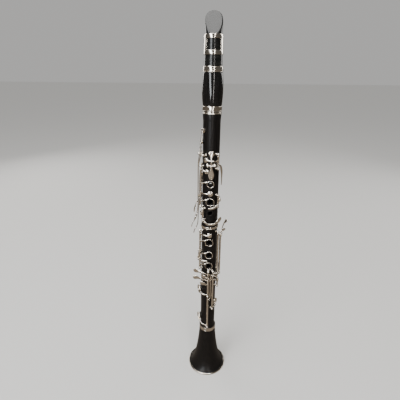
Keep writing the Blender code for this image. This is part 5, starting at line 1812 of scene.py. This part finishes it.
@dataclass
class Studio:
    """A pale floor that shows a painted dark shade in reflections, soft lamps, and the camera."""

    focal: float = 28.3
    eye: tuple[float, float, float] = (-0.0176, -0.5071, 0.5791)
    pitch: float = 21.9
    roll: float = 0.56
    wide: float = 40.0
    pale: tuple = (0.50, 0.495, 0.48)
    # painted shade: the floor's colour as glossy reflections see it, darker than the floor is lit
    painted_reflection_shade: tuple = (0.13, 0.11, 0.09)
    sky: tuple = (0.46, 0.455, 0.445)
    gloom: tuple = (0.10, 0.095, 0.09)
    even: float = 2.6
    aim: float = 0.36
    sensor: float = 36.0
    clip: tuple[float, float] = (0.01, 20.0)

    def build(self) -> None:
        """Makes the floor, the lamps and the camera."""
        self.floor()
        self.lamps()
        self.camera()

    def split(self, nodes: bpy.types.NodeTree, ray: str, usual: tuple,
              special: tuple) -> bpy.types.NodeSocket:
        """A colour that differs for one kind of ray; the floor uses it to paint a darker shade into
        its reflections.

        Args:
            nodes: The tree to add to.
            ray: The light path's output that picks the second colour.
            usual: The colour for every other ray.
            special: The colour for rays of that kind.

        Returns:
            The colour's socket.
        """
        path = nodes.nodes.new("ShaderNodeLightPath")
        mix = nodes.nodes.new("ShaderNodeMix")
        mix.data_type = "RGBA"
        mix.inputs[6].default_value = (*usual, 1.0)
        mix.inputs[7].default_value = (*special, 1.0)
        nodes.links.new(path.outputs[ray], mix.inputs["Factor"])
        return mix.outputs[2]

    def floor(self) -> None:
        """Makes the floor, a wide disc, pale to the camera and to light but painted dark for glossy
        rays: painted shade in what the metal and wood reflect.
        """
        turn = np.linspace(0, 2 * pi, 96, endpoint=False)
        rim = np.stack([self.wide * np.cos(turn), self.wide * np.sin(turn), 0 * turn], axis=-1)
        mesh = bpy.data.meshes.new("floor")
        mesh.from_pydata(rim.tolist(), [], [list(range(len(turn)))])
        nodes = Nodes("pale_floor")
        # glossy rays see the darker colour: painted shade in every reflection of the floor
        nodes.link(self.split(nodes.tree, "Is Glossy Ray", self.pale, self.painted_reflection_shade), "Base Color")
        nodes.plain(Roughness=0.9, Specular_IOR_Level=0.1)
        mesh.materials.append(nodes.material)
        made = bpy.data.objects.new("floor", mesh)
        bpy.context.scene.collection.objects.link(made)

    def lamps(self) -> None:
        """Makes a broad even light, tall soft lamps at both sides, a high one, and a faint sky."""
        places = (
            ("window", (-0.95, -1.30, 0.95), (0.40, 1.9), 30.0, (0.94, 0.97, 1.0)),
            ("strip", (0.36, -1.60, 0.95), (0.09, 1.9), 10.0, (1.0, 0.95, 0.92)),
            ("overhead", (-0.25, -0.55, 2.2), (1.5, 1.2), 38.0, (1.0, 0.99, 0.97)),
            ("back_left", (-1.3, 1.2, 1.1), (0.6, 1.6), 16.0, (1.0, 0.98, 0.96)),
            ("back_right", (1.5, 0.7, 1.0), (0.4, 1.6), 10.0, (1.0, 0.98, 0.96)),
        )
        for name, place, (wide, tall), power, colour in places:
            lamp = bpy.data.lights.new(name, "AREA")
            lamp.shape, lamp.size, lamp.size_y = "RECTANGLE", wide, tall
            lamp.energy, lamp.color = power, colour
            self.aimed(name, lamp, place)
        even = bpy.data.lights.new("even", "SUN")
        even.energy, even.angle = self.even, radians(70)
        self.aimed("even", even, (-0.6, -0.9, 2.4))
        world = bpy.data.worlds.new("soft_sky")
        world.use_nodes = True
        back = world.node_tree.nodes["Background"]
        sky = self.split(world.node_tree, "Is Camera Ray", self.gloom, self.sky)
        world.node_tree.links.new(sky, back.inputs["Color"])
        bpy.context.scene.world = world

    def aimed(self, name: str, lamp: bpy.types.Light, place: tuple[float, float, float]) -> None:
        """Puts a lamp at a place, turned towards the middle of the instrument.

        Args:
            name: Its name.
            lamp: The lamp.
            place: Where it stands.
        """
        made = bpy.data.objects.new(name, lamp)
        made.location = place
        towards = Vector((0.0, 0.0, self.aim)) - Vector(place)
        made.rotation_euler = towards.to_track_quat("-Z", "Z").to_euler()
        made.visible_camera = False
        bpy.context.scene.collection.objects.link(made)

    def camera(self) -> None:
        """Makes the camera, tilted down and rolled a little."""
        lens = bpy.data.cameras.new("camera")
        lens.lens, lens.sensor_width = self.focal, self.sensor
        lens.clip_start, lens.clip_end = self.clip
        made = bpy.data.objects.new("camera", lens)
        made.matrix_world = (
            Matrix.Translation(self.eye)
            @ Matrix.Rotation(radians(90 - self.pitch), 4, "X")
            @ Matrix.Rotation(radians(self.roll), 4, "Z")
        )
        bpy.context.scene.collection.objects.link(made)
        bpy.context.scene.camera = made


def main() -> None:
    """Builds the instrument and the studio, and reports each piece."""
    logging.basicConfig(level=logging.INFO, format="%(name)s %(message)s")
    finishes = Finishes()
    upper, lower = UpperKeys(), LowerKeys()
    Bell().build(finishes)
    Joints().build(upper, lower, finishes)
    ThumbRest().build(finishes)
    Mouthpiece().build(finishes)
    HingeRods("upper_joint", upper.hinges()).build(finishes)
    HingeRods("lower_joint", lower.hinges()).build(finishes)
    for base, keys in ((UPPER_BASE, upper.keys()), (LOWER_BASE, lower.keys())):
        for key in keys:
            key.build(base, finishes)
    Studio().build()


if __name__ == "__main__":
    main()
